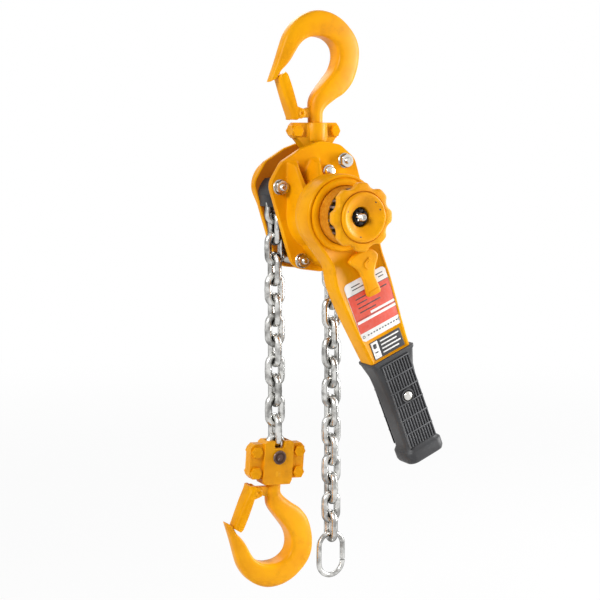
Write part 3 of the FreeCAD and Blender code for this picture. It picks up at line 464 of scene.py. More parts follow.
ends = (("upper", "top", toMetres), ("lower", "bottom", lowHookFrame))
hook = {
    # inner point, outer point, thickness, how square the forging is there
    "sections": [
        (-7.4, -86.0, 7.4, -86.0, 14.8, 0.0), (-7.4, -80.0, 7.4, -80.0, 14.8, 0.0),
        (-7.8, -72.5, 7.9, -74.5, 15.8, 0.05), (-6.6, -63.8, 12.2, -69.2, 17.4, 0.3),
        (-3.2, -57.4, 21.6, -62.4, 18.8, 0.6), (3.0, -50.3, 30.8, -56.6, 20.2, 0.85),
        (10.6, -42.0, 39.6, -46.4, 21.0, 1.0), (17.0, -34.0, 44.8, -33.6, 21.4, 1.0),
        (20.3, -26.0, 46.9, -21.6, 21.6, 1.0), (20.9, -18.8, 46.4, -11.0, 21.6, 1.0),
        (19.2, -12.6, 42.6, -1.4, 21.6, 1.0), (15.2, -7.8, 35.6, 7.6, 21.4, 1.0),
        (9.4, -4.4, 25.8, 15.8, 21.0, 1.0), (2.8, -2.9, 13.0, 21.2, 20.6, 1.0),
        (-3.8, -2.8, -1.4, 22.2, 20.0, 1.0), (-10.4, -4.2, -14.8, 17.8, 19.4, 1.0),
        (-16.4, -7.4, -25.6, 10.0, 18.6, 1.0), (-21.4, -12.4, -33.6, -0.4, 17.8, 1.0),
        (-25.6, -18.8, -38.2, -11.2, 16.6, 1.0), (-29.8, -25.4, -41.8, -21.4, 15.4, 1.0),
        (-34.6, -31.0, -45.2, -30.6, 14.0, 1.0), (-39.8, -36.0, -48.4, -38.6, 12.6, 1.0),
        (-43.4, -42.0, -51.4, -46.0, 11.4, 1.0)],
    "fine": 6, "sides": 40,
    # how full the forging is outside and inside, and how its thickness falls off outwards
    "fullAcross": (0.5, 0.62), "fullAlong": (0.55, 0.66), "taper": 0.26, "taperFrom": 0.32,
    # steps past the last section, and how small the tip is there
    "tip": [(0.9, 0.94), (1.4, 0.82), (1.6, 0.4)],
    # the neck and its collar, inside the block
    "neck": [(7.4, -85.6), (6.0, -85.8), (6.0, -91.2), (9.0, -91.3), (9.0, -97.1), (8.6, -97.3)],
    "neckSides": 32, "latchPivot": (-20.3, -76.5),
    # the lug that carries the latch's rivet, and its eye
    "lug": [(-23.3, -80.7), (-4, -80.5), (-4, -69), (-16.8, -72.9), (-21.3, -72.2)],
    "lugHalf": 3.6, "lugEdge": 0.9, "eye": [(3.8, 3.8), (4.5, 3.1)],
}


def forgedRing(values, shrink=1.0):
    innerX, innerZ, outerX, outerZ, thick, square = values
    start, across = Vector((innerX, 0, innerZ)), Vector((outerX - innerX, 0, outerZ - innerZ))
    ring = []
    for turn in turnsOf(hook["sides"]):
        c, s = math.cos(turn), math.sin(turn)
        inside = 0 if c > 0 else 1
        power = 1 - square * hook["fullAcross"][inside]
        along = 0.5 + 0.5 * shrink * math.copysign(abs(c) ** power, c)
        side = math.copysign(abs(s) ** (1 - square * hook["fullAlong"][inside]), s) * shrink
        outwards = max(along - hook["taperFrom"], 0) / (1 - hook["taperFrom"])
        taper = 1 - square * hook["taper"] * outwards
        ring.append(start + across * along + Vector((0, thick / 2 * side * taper, 0)))
    return ring


def makeHook(name, place, body, node):
    work = bmesh.new()
    run = smoothRun(hook["sections"], hook["fine"])
    rings = [forgedRing(values) for values in run]
    tip = run[-1]
    beyond = Vector((tip[0] - run[-2][0], 0, tip[1] - run[-2][1])).normalized()
    for reach, shrink in hook["tip"]:
        rings.append([point + beyond * reach for point in forgedRing(tip, shrink)])
    skin(work, rings)
    turns = turnsOf(hook["neckSides"])
    skin(work, [[Vector((r * math.cos(t), r * math.sin(t), z)) for t in turns] for r, z in hook["neck"]])
    slab(work, hook["lug"], -hook["lugHalf"], hook["lugHalf"], hook["lugEdge"])
    lathe(work, mirrored(hook["eye"]), hook["latchPivot"])
    piece(name, work, place, body, "castAmberPaint", [node], sharp=55)


for word, end, place in ends:
    makeHook(word + "_hook", place, end + "_hook_body", end + "_hook")

latch = {
    # back point, rim point and half width, from the pivot end to the tip
    "rows": [(-28.8, -82.4, -25.0, -82.8, 8.8), (-29.2, -80.6, -23.2, -81.4, 9.6),
             (-30.4, -76.5, -22.2, -78.4, 9.9), (-33.4, -69.0, -24.2, -71.0, 9.7),
             (-36.3, -61.5, -26.6, -62.2, 9.3), (-39.0, -54.0, -29.4, -52.6, 8.9),
             (-41.4, -47.0, -32.6, -43.6, 8.6), (-42.8, -43.0, -34.4, -39.4, 8.4),
             (-42.4, -40.4, -36.4, -37.2, 7.8)],
    "fine": 4, "wall": 1.9, "bend": 4.6, "leastBend": 0.5, "bendShare": 0.7, "bendSteps": 5,
    # the two ears that the rivet goes through, drawn from the pivot
    "ear": [(-5.0, -5.0), (0.5, -4.9), (4.2, -2.6), (5.0, 0.6), (3.6, 3.8), (0.4, 5.2), (-5.0, 7.0)],
    "earDepths": [(-9.7, -7.8), (7.8, 9.7)],
    "rivet": [(1.3, 9.0), (1.6, 10.4), (2.7, 10.7), (3.7, 10.2), (3.7, 9.4), (2.5, 9.3)],
}


def channelRing(values):
    # one cross-section of the bent sheet: a back, two round corners and two flanges
    backX, backZ, rimX, rimZ, half = values
    reach = math.hypot(rimX - backX, rimZ - backZ)
    towards = Vector((rimX - backX, 0, rimZ - backZ)) / reach
    wall, bend, steps = latch["wall"], latch["bend"], latch["bendSteps"]

    def path(inwards, radius, order):
        radius = min(radius, reach * latch["bendShare"])
        points = []
        for side in (-1, 1):
            part = [(side * (half - inwards), reach)]
            for step in range(steps + 1):
                turn = math.pi / 2 * step / steps
                part.append((side * (half - inwards - radius + radius * math.cos(turn)),
                             inwards + radius - radius * math.sin(turn)))
            points += part if side < 0 else part[::-1]
        return points[::order]

    both = path(0, bend, 1) + path(wall, max(bend - wall, latch["leastBend"]), -1)
    start = Vector((backX, 0, backZ))
    return [start + towards * depth + Vector((0, across, 0)) for across, depth in both]


def makeLatch(name, place, body, node):
    work = bmesh.new()
    skin(work, [channelRing(values) for values in smoothRun(latch["rows"], latch["fine"])])
    x, z = hook["latchPivot"]
    for rear, front in latch["earDepths"]:
        slab(work, [(x + across, z + up) for across, up in latch["ear"]], rear, front)
    piece(name, work, place, body, "amberPaint", [node])


def makeLatchRivet(name, place, body, node):
    work = bmesh.new()
    lathe(work, mirrored(latch["rivet"]), hook["latchPivot"], count=32)
    piece(name, work, place, body, "amberPaint", [node])


for word, end, place in ends:
    makeLatch(word + "_latch", place, end + "_latch", end + "_latch")
for word, end, place in ends:
    makeLatchRivet(word + "_latch_rivet", place, end + "_hook_body", end + "_latch_pin")
print("hooks made")

# load chain

chain = {
    "wire": 6.9, "inside": 20.4, "width": 21.2, "step": 20.0, "sides": 16, "bends": 14,
    # where the weld is along the side, as a share of it, and how much of the swelling is there
    "weld": [(0.35, 0.0), (0.16, 0.35), (0.08, 1.0), (-0.08, 1.0), (-0.16, 0.35), (-0.35, 0.0)],
    "swell": 0.06, "left": (-44.994, -186.701), "right": (19.163, -174.172),
    # the links on the sheave: first turn, turn per link, and how far out they lie
    "wheelStart": 173.05, "wheelStep": 36, "wheelReach": (32.238, 29.931), "wheelLinks": 5,
}
strands = [
    # name, side, first link, link after the last, and the body and node
    ("hook_strand_top", "left", 1, 2, "hook_chain_top"), ("hook_strand", "left", 2, 12, "hook_chain"),
    ("loose_strand_top", "right", 1, 4, "free_chain_top"), ("loose_strand", "right", 4, 17, "free_chain"),
]


def wireRing(half, lift, turn, size):
    # a round section of wire at one turn of a loop
    outward = Vector((math.cos(turn), 0, math.sin(turn)))
    centre = Vector((half * math.cos(turn), 0, lift + half * math.sin(turn)))
    return [centre + outward * (size * math.cos(a)) + Vector((0, size * math.sin(a), 0))
            for a in turnsOf(chain["sides"])]


def linkRings():
    half = (chain["width"] - chain["wire"]) / 2
    straight = chain["inside"] / 2 + chain["wire"] / 2 - half
    bend = [math.pi * index / chain["bends"] for index in range(chain["bends"] + 1)]
    stations = [(turn, straight, 0.0) for turn in bend]
    stations += [(math.pi, up * straight * 2, swell) for up, swell in chain["weld"]]
    stations += [(turn + math.pi, -straight, 0.0) for turn in bend]
    return [wireRing(half, lift, turn, chain["wire"] / 2 * (1 + chain["swell"] * swell))
            for turn, lift, swell in stations]


plainLink = linkRings()


def addLink(work, across, up, lean, turned):
    place = moved(across, 0, up) @ spun(lean)
    if turned:
        place = place @ spun(90, "Z")
    skin(work, [[place @ point for point in ring] for ring in plainLink], True)


def makeWheelChain():
    work = bmesh.new()
    for index in range(chain["wheelLinks"]):
        polar = chain["wheelStart"] - chain["wheelStep"] * index
        reach = chain["wheelReach"][index % 2]
        across = layout["shaft"][0] + reach * math.cos(math.radians(polar))
        up = layout["shaft"][2] + reach * math.sin(math.radians(polar))
        addLink(work, across, up, -polar, index % 2 == 1)
    for side in ("left", "right"):
        addLink(work, *chain[side], 0, True)
    piece("sheave_links", work, toMetres, "winch_frame", "platedChain", ["wrapped_chain"], 60)


def makeStrands():
    for name, side, first, last, node in strands:
        work = bmesh.new()
        across, top = chain[side]
        for index in range(first, last):
            addLink(work, across, top - chain["step"] * index, 0, index % 2 == 0)
        piece(name, work, toMetres, node, "platedChain", [node], 60)


makeWheelChain()
makeStrands()

endRing = {"half": 13.8, "straight": 8.5, "wire": 2.6, "centre": -523.922, "gap": 0.8, "meet": 0.2,
           "steps": 24}


def makeEndRing():
    # the ring that stops the chain, left a little open on its right side
    work = bmesh.new()
    straight, steps = endRing["straight"], endRing["steps"]
    bend = [math.pi * index / steps for index in range(steps + 1)]
    foot = endRing["meet"] - straight
    path = [(0.0, foot + 2 * endRing["gap"])] + [(turn, straight) for turn in bend]
    path += [(math.pi + turn, -straight) for turn in bend] + [(2 * math.pi, foot)]
    skin(work, [wireRing(endRing["half"], lift, turn, endRing["wire"]) for turn, lift in path])
    place = toMetres @ moved(chain["right"][0], 0, endRing["centre"])
    piece("stop_ring", work, place, "end_ring", "platedChain", ["end_ring"], 60)


makeEndRing()
print("chain made")

# brake cover, a deep soft pressing, with the two plates behind it

cover = {
    "outline": [(-48.4, 27.5), (-35.4, 48.2), (-14, 60.9), (7.5, 68), (29, 64.5), (45.5, 51), (52, 30),
                (51, -14), (34, -50), (8, -58.8), (-22.5, -54.0), (-29.5, -33)],
    "corner": 15.0, "rear": 18.35, "skirt": 20.2, "flange": 20.8, "top": 48.0,
    # the round dish with the lobe below it
    "centre": (6.0, -2.0), "radius": 33.0, "lobe": [(-20, -18), (34, -20), (30, -44), (14, -53), (0, -46)],
    # two pads: outline, front face where the pad meets the dish and at its upper end, where it starts to fall
    "pads": [([(-26.8, -8), (-10, -8), (-17.5, 24), (-21.5, 46.5), (-27.5, 46.5)], 45.0, 30.0, 14.0),
             ([(-14, 16), (-6, 10), (0.5, 30), (2.5, 49), (-3.5, 49), (-10.5, 30)], 47.0, 29.0, 20.0)],
    "slope": 7.5, "padSlope": 0.85, "padFall": 36, "fillet": 2.5, "edge": 0.5,
    "bore": 26.9, "boreRear": 44.5, "around": 300, "across": 110,
}


def roundedOutline(outline, radius, steps=8):
    points = []
    for index, here in enumerate(outline):
        corner = Vector(here)
        before = (Vector(outline[index - 1]) - corner).normalized()
        after = (Vector(outline[(index + 1) % len(outline)]) - corner).normalized()
        half = math.acos(max(-1, min(1, before.dot(after)))) / 2
        reach = radius / math.tan(half)
        centre = corner + (before + after).normalized() * (radius / math.sin(half))
        one, two = corner + before * reach - centre, corner + after * reach - centre
        total = one.angle_signed(two)
        for step in range(steps + 1):
            turn = -total * step / steps
            points.append(centre + Vector((one.x * math.cos(turn) - one.y * math.sin(turn),
                                           one.x * math.sin(turn) + one.y * math.cos(turn))))
    return points


def evenly(outline, count):
    # the same outline with evenly spaced points
    lengths = [(outline[(index + 1) % len(outline)] - p).length for index, p in enumerate(outline)]
    total, points = sum(lengths), []
    for index in range(count):
        goal = total * index / count
        for number, length in enumerate(lengths):
            if goal <= length:
                break
            goal -= length
        points.append(outline[number].lerp(outline[(number + 1) % len(outline)], goal / max(length, 1e-9)))
    return points


def edgeDistance(outline, x, z):
    # how far a point is outside a closed outline; negative inside
    best, inside = math.inf, False
    for (ax, az), (bx, bz) in zip(outline, outline[1:] + outline[:1]):
        dx, dz = bx - ax, bz - az
        t = max(0, min(1, ((x - ax) * dx + (z - az) * dz) / (dx * dx + dz * dz)))
        best = min(best, math.hypot(x - ax - t * dx, z - az - t * dz))
        if (az > z) != (bz > z) and x < dx * (z - az) / dz + ax:
            inside = not inside
    return -best if inside else best


def blendHigh(one, two, width, foot=4):
    # the higher of two heights, with a fillet where they meet that dies out near the flange
    lean = max(width - abs(one - two), 0.0) / width
    return max(one, two) + lean * lean * width / 4 * min(1, min(one, two) / foot)


def coverHeight(x, z):
    base, slope, edge = cover["flange"], cover["slope"], cover["edge"]
    dish = math.hypot(x - cover["centre"][0], z - cover["centre"][1]) - cover["radius"]
    shape = min(dish, edgeDistance(cover["lobe"], x, z))
    rise = soft(0.5 - (shape - edge) / slope) * (cover["top"] - base)
    for outline, low, high, start in cover["pads"]:
        away = edgeDistance(outline, x, z) - edge
        top = low + (high - low) * soft((z - start) / cover["padFall"])
        pad = soft(0.5 - away / (slope * cover["padSlope"])) * (top - base)
        rise = blendHigh(rise, pad, cover["fillet"])
    return base + rise


def makeCover():
    work = bmesh.new()
    even = evenly(roundedOutline(cover["outline"], cover["corner"]), cover["around"])
    middle = Vector(cover["centre"])
    rows = [[Vector((p.x, -forward, p.y)) for p in even] for forward in (cover["rear"], cover["skirt"])]
    for step in range(cover["across"] + 1):
        row = []
        for p in even:
            reach = (p - middle).length - cover["edge"]
            aim = (p - middle).normalized()
            here = middle + aim * (reach + (cover["bore"] - reach) * (step / cover["across"]))
            row.append(Vector((here.x, -coverHeight(here.x, here.y), here.y)))
        rows.append(row)
    rows.append([Vector((v.x, -cover["boreRear"], v.z)) for v in rows[-1]])
    skin(work, rows, caps=False)
    piece("pressed_cover", work, shaftFrame, "winch_frame", "amberPaint", ["brake_cover"], sharp=60)


makeCover()

plates = {
    "edge": 0.5, "shadeInset": 1.2, "shadeHalf": 0.06, "shadeEdge": 0.02,
    # the last two corners of the rear plate
    "rearFoot": [(-21.5, -55.0), (-30.5, -32)],
}


def makeSidePlates():
    # two flat plates that carry the sheave, each with a thin dark sheet on the face towards the chain:
    # painted shade inside the frame
    inside, outside, half = layout["plateInside"], layout["plateOutside"], plates["shadeHalf"]
    rearCorners = cover["outline"][:-2] + plates["rearFoot"]
    for end, rear, front, level, corners in (("front", inside, outside, inside, cover["outline"]),
                                             ("rear", -outside, -inside, -inside, rearCorners)):
        outline = roundedOutline(corners, cover["corner"])
        sheet, film, name = bmesh.new(), bmesh.new(), "plate_" + end
        slab(sheet, outline, rear, front, plates["edge"])
        piece(name + "_sheet", sheet, shaftFrame, "winch_frame", "amberPaint", ["side_" + name], sharp=35)
        # the thin dark sheet is painted shade between the plates
        slab(film, inset(outline, plates["shadeInset"]), level - half, level + half, plates["shadeEdge"])
        piece(name + "_shade", film, shaftFrame, "winch_frame", "plateShadePaint", sharp=35)


makeSidePlates()

case = {"round": 1.6, "keep": 0.044, "shrink": 0.84}      # keep is in metres from the shaft


def caseShape(point):
    # the flange keeps a little inside the edge of the rear plate
    middleX, middleZ = layout["shaft"][0] / 1000, layout["shaft"][2] / 1000
    across, up = point.x - middleX, point.z - middleZ
    away = math.hypot(across, up)
    share = 1 if away < case["keep"] else (case["keep"] + (away - case["keep"]) * case["shrink"]) / away
    return Vector((middleX + across * share, point.y, middleZ + up * share))


softened("gear_case", "winch_frame", "amberPaint", case["round"], caseShape)
print("frame covered")

# nuts, washers and studs; profiles are radius and how far forward of the face they stand on

fixings = {
    "nuts": [(-37.8, 24.5), (-14.1, -46.8), (33.5, 48.9)], "coverFace": 20.8, "caseFace": 20.3,
    "washer": [(3.1, 0.0), (7.4, 0.0), (7.4, 0.9), (7.1, 1.3), (3.1, 1.4)],
    "nut": [(3.1, 1.4), (6.1, 1.4), (7.0, 2.0), (7.0, 5.6), (6.15, 6.3), (5.1, 6.4), (3.3, 6.4), (3.0, 6.1)],
    "flats": 12.0, "stud": (0.5, 8.6), "screw": (16, 38.5),
    "dome": [(3.0, 0.0), (6.6, 0.0), (6.6, 0.8), (5.6, 1.2), (5.5, 2.2), (4.6, 3.6), (3.0, 4.5), (1.4, 4.9),
             (0.2, 5.0)],
}
thread = {"radius": 3.0, "pitch": 0.8, "depth": 0.35, "shoulder": (0.2, 0.6), "chamfer": 0.9}


def threadedEnd(start, end, radius=thread["radius"]):
    # a stud's end as (radius, forward) pairs, thread by thread
    profile = []
    forward = start
    while forward < end - thread["pitch"]:
        profile += [(radius - thread["depth"], forward), (radius, forward + thread["pitch"] / 2)]
        forward += thread["pitch"]
    inwards, back = thread["shoulder"]
    return profile + [(radius - inwards, end - back), (radius - thread["chamfer"], end)]


def nutOn(work, centre, face, way):
    # a washer, a hexagon nut and the end of its stud
    for profile, flats, hollow in ((fixings["washer"], None, True), (fixings["nut"], fixings["flats"], True),
                                   (threadedEnd(*fixings["stud"]), None, False)):
        turned = [(radius, way * (face + forward)) for radius, forward in profile]
        lathe(work, turned, centre, flats, hollow=hollow)


def makeFixings():
    work, dome = bmesh.new(), bmesh.new()
    for centre in fixings["nuts"]:
        nutOn(work, centre, fixings["coverFace"], 1)
    for centre in fixings["nuts"][1:]:
        nutOn(work, centre, fixings["caseFace"], -1)
    piece("stud_nuts", work, shaftFrame, "winch_frame", "zincPlate", ["stay_nuts"], 35)
    raised = [(radius, fixings["coverFace"] + forward) for radius, forward in fixings["dome"]]
    lathe(dome, raised, fixings["screw"])
    piece("dome_screw", dome, shaftFrame, "winch_frame", "zincPlate", ["cover_screw"], 35)


makeFixings()

guides = {
    # from and to, in degrees round the sheave
    "turns": {"chain_guide_left": (130, 173), "chain_guide_right": (16, 40)},
    "inner": 38.5, "outer": 48.5, "groove": 4.3, "floor": 45.5, "corner": 1, "steps": 30,
    # how much each end is cut down, and over how many steps
    "startDrop": (5.5, 7), "endDrop": (6.5, 15),
}


def makeGuides():
    # black grooved blocks that keep the chain on the sheave
    inner, outer, corner = guides["inner"], guides["outer"], guides["corner"]
    groove, floor, steps, half = guides["groove"], guides["floor"], guides["steps"], layout["plateInside"]
    section = [(inner, -half), (inner + corner, -half), (outer - corner, -half), (outer, -half + corner),
               (outer, half - corner), (outer - corner, half), (inner, half), (inner, groove + corner),
               (inner + corner, groove), (floor, groove), (floor, -groove), (inner + corner, -groove),
               (inner, -groove - corner)]
    for node, (start, end) in guides["turns"].items():
        work = bmesh.new()
        rings = []
        for step in range(steps + 1):
            turn = math.radians(start + (end - start) * step / steps)
            cuts = ((guides["startDrop"], step), (guides["endDrop"], steps - step))
            drop = sum(deep * (1 - soft(along / over)) for (deep, over), along in cuts)
            rings.append([spotAt(r - drop * (r - inner) / (outer - inner), f, turn) for r, f in section])
        skin(work, rings)
        piece(node + "_block", work, shaftFrame, "winch_frame", "blackCoat", [node], 35)


makeGuides()

stripper = {"outline": [(-9.5, -38.6), (9.5, -38.6), (8, -24), (3, -21.8), (-3, -21.8), (-8, -24)],
            "bar": [(-9.5, -42.5), (10, -42.5), (10, -37.5), (-9.5, -37.5)], "half": 3.2, "edge": 0.5}


def makeStripper():
    # a finger that lifts the links off the sheave, on a bar between the plates
    work = bmesh.new()
    for word, half in (("outline", stripper["half"]), ("bar", layout["plateInside"])):
        slab(work, stripper[word], -half, half, stripper["edge"])
    piece("chain_finger", work, shaftFrame, "winch_frame", "blackCoat", ["chain_stripper"], 35)


makeStripper()

# hook blocks

blocks = {
    "topFace": -85.2,
    "boss": [(7.8, 0.4), (8.3, 0), (10.1, 0), (11.0, 0.4), (11.4, 1.3), (11.4, 16.8), (10.9, 17.9),
             (9.7, 18.4), (7.8, 18.4)],
    # in metres: how far out the ears start, where the square middle's faces lie and where they move to
    "earsFrom": 0.010, "middle": (0.0115, 0.0125), "middleHalf": 0.0066, "middleShare": 0.75,
    "earReach": (1.05, 0.8), "topThin": 0.78, "lowThin": 0.86, "lowReach": 1.07,
    "round": 1.4, "boltRound": 0.5,
    "plug": [(6.8, 9.4), (7.0, 10.2), (6.6, 10.6), (5.2, 10.7), (5.0, 10.3), (3.4, 10.2), (3.2, 10.8),
             (0.3, 11.0)],
}


def topBlockShape(point):
    # slimmer than the solid, with a shorter right ear
    reach, start = blocks["earReach"][0 if point.x < 0 else 1], blocks["earsFrom"]
    far = max(abs(point.x) - start, 0) * reach + min(abs(point.x), start)
    if blocks["middle"][0] < abs(point.y) < blocks["middle"][1]:
        # the square middle goes inside the round boss
        y = math.copysign(blocks["middleHalf"], point.y)
        return Vector((point.x * blocks["middleShare"], y, point.z))
    return Vector((math.copysign(far, point.x), point.y * blocks["topThin"], point.z))


def lowBlockShape(point):
    # slimmer, and a little deeper below the chain pin
    below = min(point.z - layout["chainPin"][2] / 1000, 0)
    return Vector((point.x, point.y * blocks["lowThin"], point.z + below * (blocks["lowReach"] - 1)))


def makeTopBoss():
    # the round middle of the top block, where the hook's neck goes in
    work = bmesh.new()
    lathe(work, blocks["boss"], count=64, hollow=True)
    place = toMetres @ moved(0, 0, blocks["topFace"]) @ spun(90, "X")
    piece("top_boss", work, place, "top_block", "castAmberPaint", sharp=35)


def makePinPlug():
    # the plain disc over the chain pin, on both faces of the lower block
    work = bmesh.new()
    lathe(work, blocks["plug"], count=40)
    lathe(work, [(radius, -forward) for radius, forward in blocks["plug"]][::-1], count=40)
    piece("pin_plugs", work, lowFrame, "bottom_block", "oiledSteel", ["chain_pin"], 35)


for end, reshape in (("top", topBlockShape), ("bottom", lowBlockShape)):
    for part, material, width in (("front", "castAmberPaint", "round"), ("rear", "castAmberPaint", "round"),
                                  ("bolts", "amberPaint", "boltRound")):
        softened(end + "_block_" + part, end + "_block", material, blocks[width], reshape)
makeTopBoss()
makePinPlug()
print("fixings made")

# lever; its edges are pairs of inwards from the outline, and forward

lever = {
    "head": 38.2, "headJoin": 0.1, "headSteps": 40, "fine": 5,
    # both sides of the arm, from the head down to the grip
    "right": [(33.6, -19.0), (29.4, -33.0), (27.0, -48.0), (26.6, -72.0), (25.0, -96.0), (23.0, -122.0),
              (21.6, -149.0)],
    "left": [(-35.0, -16.5), (-30.8, -32.0), (-29.6, -42.0), (-32.4, -56.0), (-33.0, -66.0), (-31.4, -90.0),
             (-28.2, -118.0), (-24.3, -149.0)],
    "frontEdge": [(0.35, 57.12), (0, 57.5), (0, 74.4), (0.25, 75.5), (0.8, 76.54), (1.5, 76.9), (2.4, 76.9),
                  (3.0, 76.36), (3.5, 76.0)],
    "rearEdge": [(2.2, 50.0), (0.9, 50.4), (0.2, 51.5), (0, 52.6), (0, 56.6), (0.35, 56.9)],
    # the raised ring on the head, as radius and forward
    "ring": [(34.5, 75.0), (34.1, 76.6), (33.6, 77.4), (33.3, 78.6), (32.4, 79.2), (29.1, 79.2), (28.1, 78.7),
             (27.7, 77.6), (27.7, 75.0)],
    "rear": 50.0, "split": 57.0, "armLift": 6.0, "liftFrom": 18.0, "liftOver": 30.0,
    "tang": [(-16.0, -110), (-15.0, -240), (15.0, -240), (16.0, -110)], "tangDepth": (58.0, 62.0),
}


def leverOutline(shrink):
    # half round head above, a waist and a slightly tapering arm below
    sides = []
    for word, way in (("right", 1), ("left", -1)):
        side = [[x - way * shrink, z] for x, z in lever[word]]
        side[-1][1] += shrink
        sides.append(smoothRun(side, lever["fine"]))
    head, steps = lever["head"] - shrink, lever["headSteps"]
    start = math.atan2(lever["right"][0][1], lever["right"][0][0]) + lever["headJoin"]
    stop = math.pi - math.atan2(lever["left"][0][1], -lever["left"][0][0]) - lever["headJoin"]
    turns = [start + (stop - start) * step / steps for step in range(steps + 1)]
    return [(head * math.cos(t), head * math.sin(t)) for t in turns] + sides[1] + sides[0][::-1]


def makeLeverShells():
    split, rear = lever["split"], lever["rear"]
    front, back = bmesh.new(), bmesh.new()
    stacked(front, [(leverOutline(shrink), forward) for shrink, forward in lever["frontEdge"]])
    lathe(front, lever["ring"], count=96, hollow=True)
    piece("lever_front_pressing", front, leverFrame, "lever", "amberPaint", ["lever_front_shell"])
    stacked(back, [(leverOutline(shrink), forward) for shrink, forward in lever["rearEdge"]])
    for vertex in back.verts:
        # the head is deep and the arm is shallow
        lift = lever["armLift"] * soft((-vertex.co.z - lever["liftFrom"]) / lever["liftOver"])
        vertex.co.y -= lift * max(split + vertex.co.y, 0) / (split - rear)
    slab(back, lever["tang"], *lever["tangDepth"])
    replaced = ["lever_rear_shell", "lever_tongue"]
    piece("lever_rear_pressing", back, leverFrame, "lever", "amberPaint", replaced)


makeLeverShells()

selector = {
    "outline": [(-3, 9.6), (-9, 8.8), (-13.6, 6.2), (-14.2, 3.6), (-12.6, 0.6), (-10.2, -2.4), (-7.9, -7.0),
                (-6.8, -12.5), (-6.4, -19.5), (-7.0, -26.2), (-7.5, -31.5), (-6.6, -34.2), (-3.5, -34.9),
                (3.5, -35.1), (6.8, -34.3), (7.7, -31.2), (7.3, -26.0), (6.6, -20.5), (7.1, -16.0),
                (9.4, -11.2), (12.6, -7.0), (15.8, -3.2), (16.8, 0.6), (14.6, 5.0), (10.0, 8.2), (4.0, 9.6)],
    "lean": 22.0,
    "edge": [(0.6, 79.3), (0, 80.0), (0, 82.5), (0.35, 83.5), (1.1, 84.05), (2.0, 84.2)],
    "boss": [(4.1, 76.2), (7.4, 76.3), (7.6, 76.9), (7.6, 79.0), (7.0, 79.6), (4.1, 79.6)],
    "pin": [(4.0, 76.2), (4.0, 70.0)],
    # a raised curved arrow, and a short bar below it
    "arrow": (4.2, -5.0), "arrowReach": (5.4, 3.8), "arrowStart": 75, "arrowSweep": 165, "arrowSteps": 14,
    "arrowHead": [(5.6, 2.4), (8.6, -1.4), (3.7, -2.6)],
    "bar": [(-5.4, -31.0), (5.6, -31.0), (5.6, -29.4), (-5.4, -29.4)],
    "raisedFrom": 83.9, "arrowFace": 84.9, "barFace": 84.75, "raisedEdge": 0.25,
}
selectorPlace = toMetres @ moved(*layout["selector"]) @ spun(-selector["lean"])


def makeSelector():
    work, raised = bmesh.new(), bmesh.new()
    outline = smoothLoop(selector["outline"])
    stacked(work, [(inset(outline, amount), forward) for amount, forward in selector["edge"]])
    lathe(work, selector["boss"], hollow=True)
    lathe(work, selector["pin"], count=32)
    piece("selector_handle", work, selectorPlace, "selector", "castAmberPaint", ["selector_lever"], sharp=45)
    x, z = selector["arrow"]
    start, sweep, steps = selector["arrowStart"], selector["arrowSweep"], selector["arrowSteps"]
    turns = [math.radians(start + sweep * step / steps) for step in range(steps + 1)]
    outer, inner = [[(x + reach * math.cos(t), z + reach * math.sin(t)) for t in turns]
                    for reach in selector["arrowReach"]]
    for shape, face in ((outer + inner[::-1], "arrowFace"), (selector["arrowHead"], "arrowFace"),
                        (selector["bar"], "barFace")):
        slab(raised, shape, selector["raisedFrom"], selector[face], selector["raisedEdge"])
    piece("selector_arrow", raised, selectorPlace, "selector", "castAmberPaint")


makeSelector()

# a plain printed plate with white, red and white bands, thin rules and no words, and a dark plate below it

label = {
    "face": 76.05, "thick": 0.25, "ink": 0.06, "inkEdge": 0.03,
    # each sheet: left, right, top, foot and corner
    "sheet": (-25.4, 23.0, -62.0, -122.0, 4.5), "lowerSheet": (-19.4, 16.6, -125.5, -144.0, 0.8),
    # each print: left, right, top, foot and how far above the sheet it lies
    "bars": [(-6.9, 21.6, -96.6, -99.0, 0.06), (-24.0, 21.6, -101.0, -103.6, 0.06)],
    "band": [(-25.1, 22.7, -75.0, -113.2, 0)],
    "rules": [(-18, -8, -66.4, -67.4, 0), (-18, -4, -69.6, -70.6, 0), (11, 19, -66.4, -67.4, 0),
              (13, 19, -69.6, -70.6, 0), (-25.1, 22.7, -74.5, -75.0, 0.03), (-18, -2, -79.5, -80.7, 0.06),
              (-18, -6, -84.0, -85.2, 0.06), (10, 19, -79.5, -80.7, 0.06), (-18, 8, -88.5, -89.7, 0.06),
              (-18, 1, -93.0, -94.2, 0.06), (-24.0, 21.6, -99.6, -100.1, 0.06)],
    "ticks": 11, "tick": (-18, -16, -116.6, -117.8), "tickStep": 3.4,
    "holes": [(-22.4, -117.2), (20.0, -117.2)], "hole": (1.5, 0.9),
    # on the lower sheet: a block, four rules of two lengths, and two marks on the block
    "block": (-18.6, -10.8, -126.3, -143.2), "lines": 4, "line": (-8.0, 14.4, -127.9, 1.4), "lineStep": 3.9,
    "lineShort": 3.5, "marks": [(-16.8, -12.8, -128.5, -133.1, 1.2), (-16.6, -13.0, -136.5, -137.7, 0)],
    "marksLift": 0.08,
}


def stripe(work, left, right, top, foot, level, thick=label["ink"], corner=0):
    corners = [(left, foot), (right, foot), (right, top), (left, top)]
    if corner:
        corners = roundedOutline(corners, corner, 5)
    slab(work, corners, level, level + thick, min(label["inkEdge"], thick / 3))


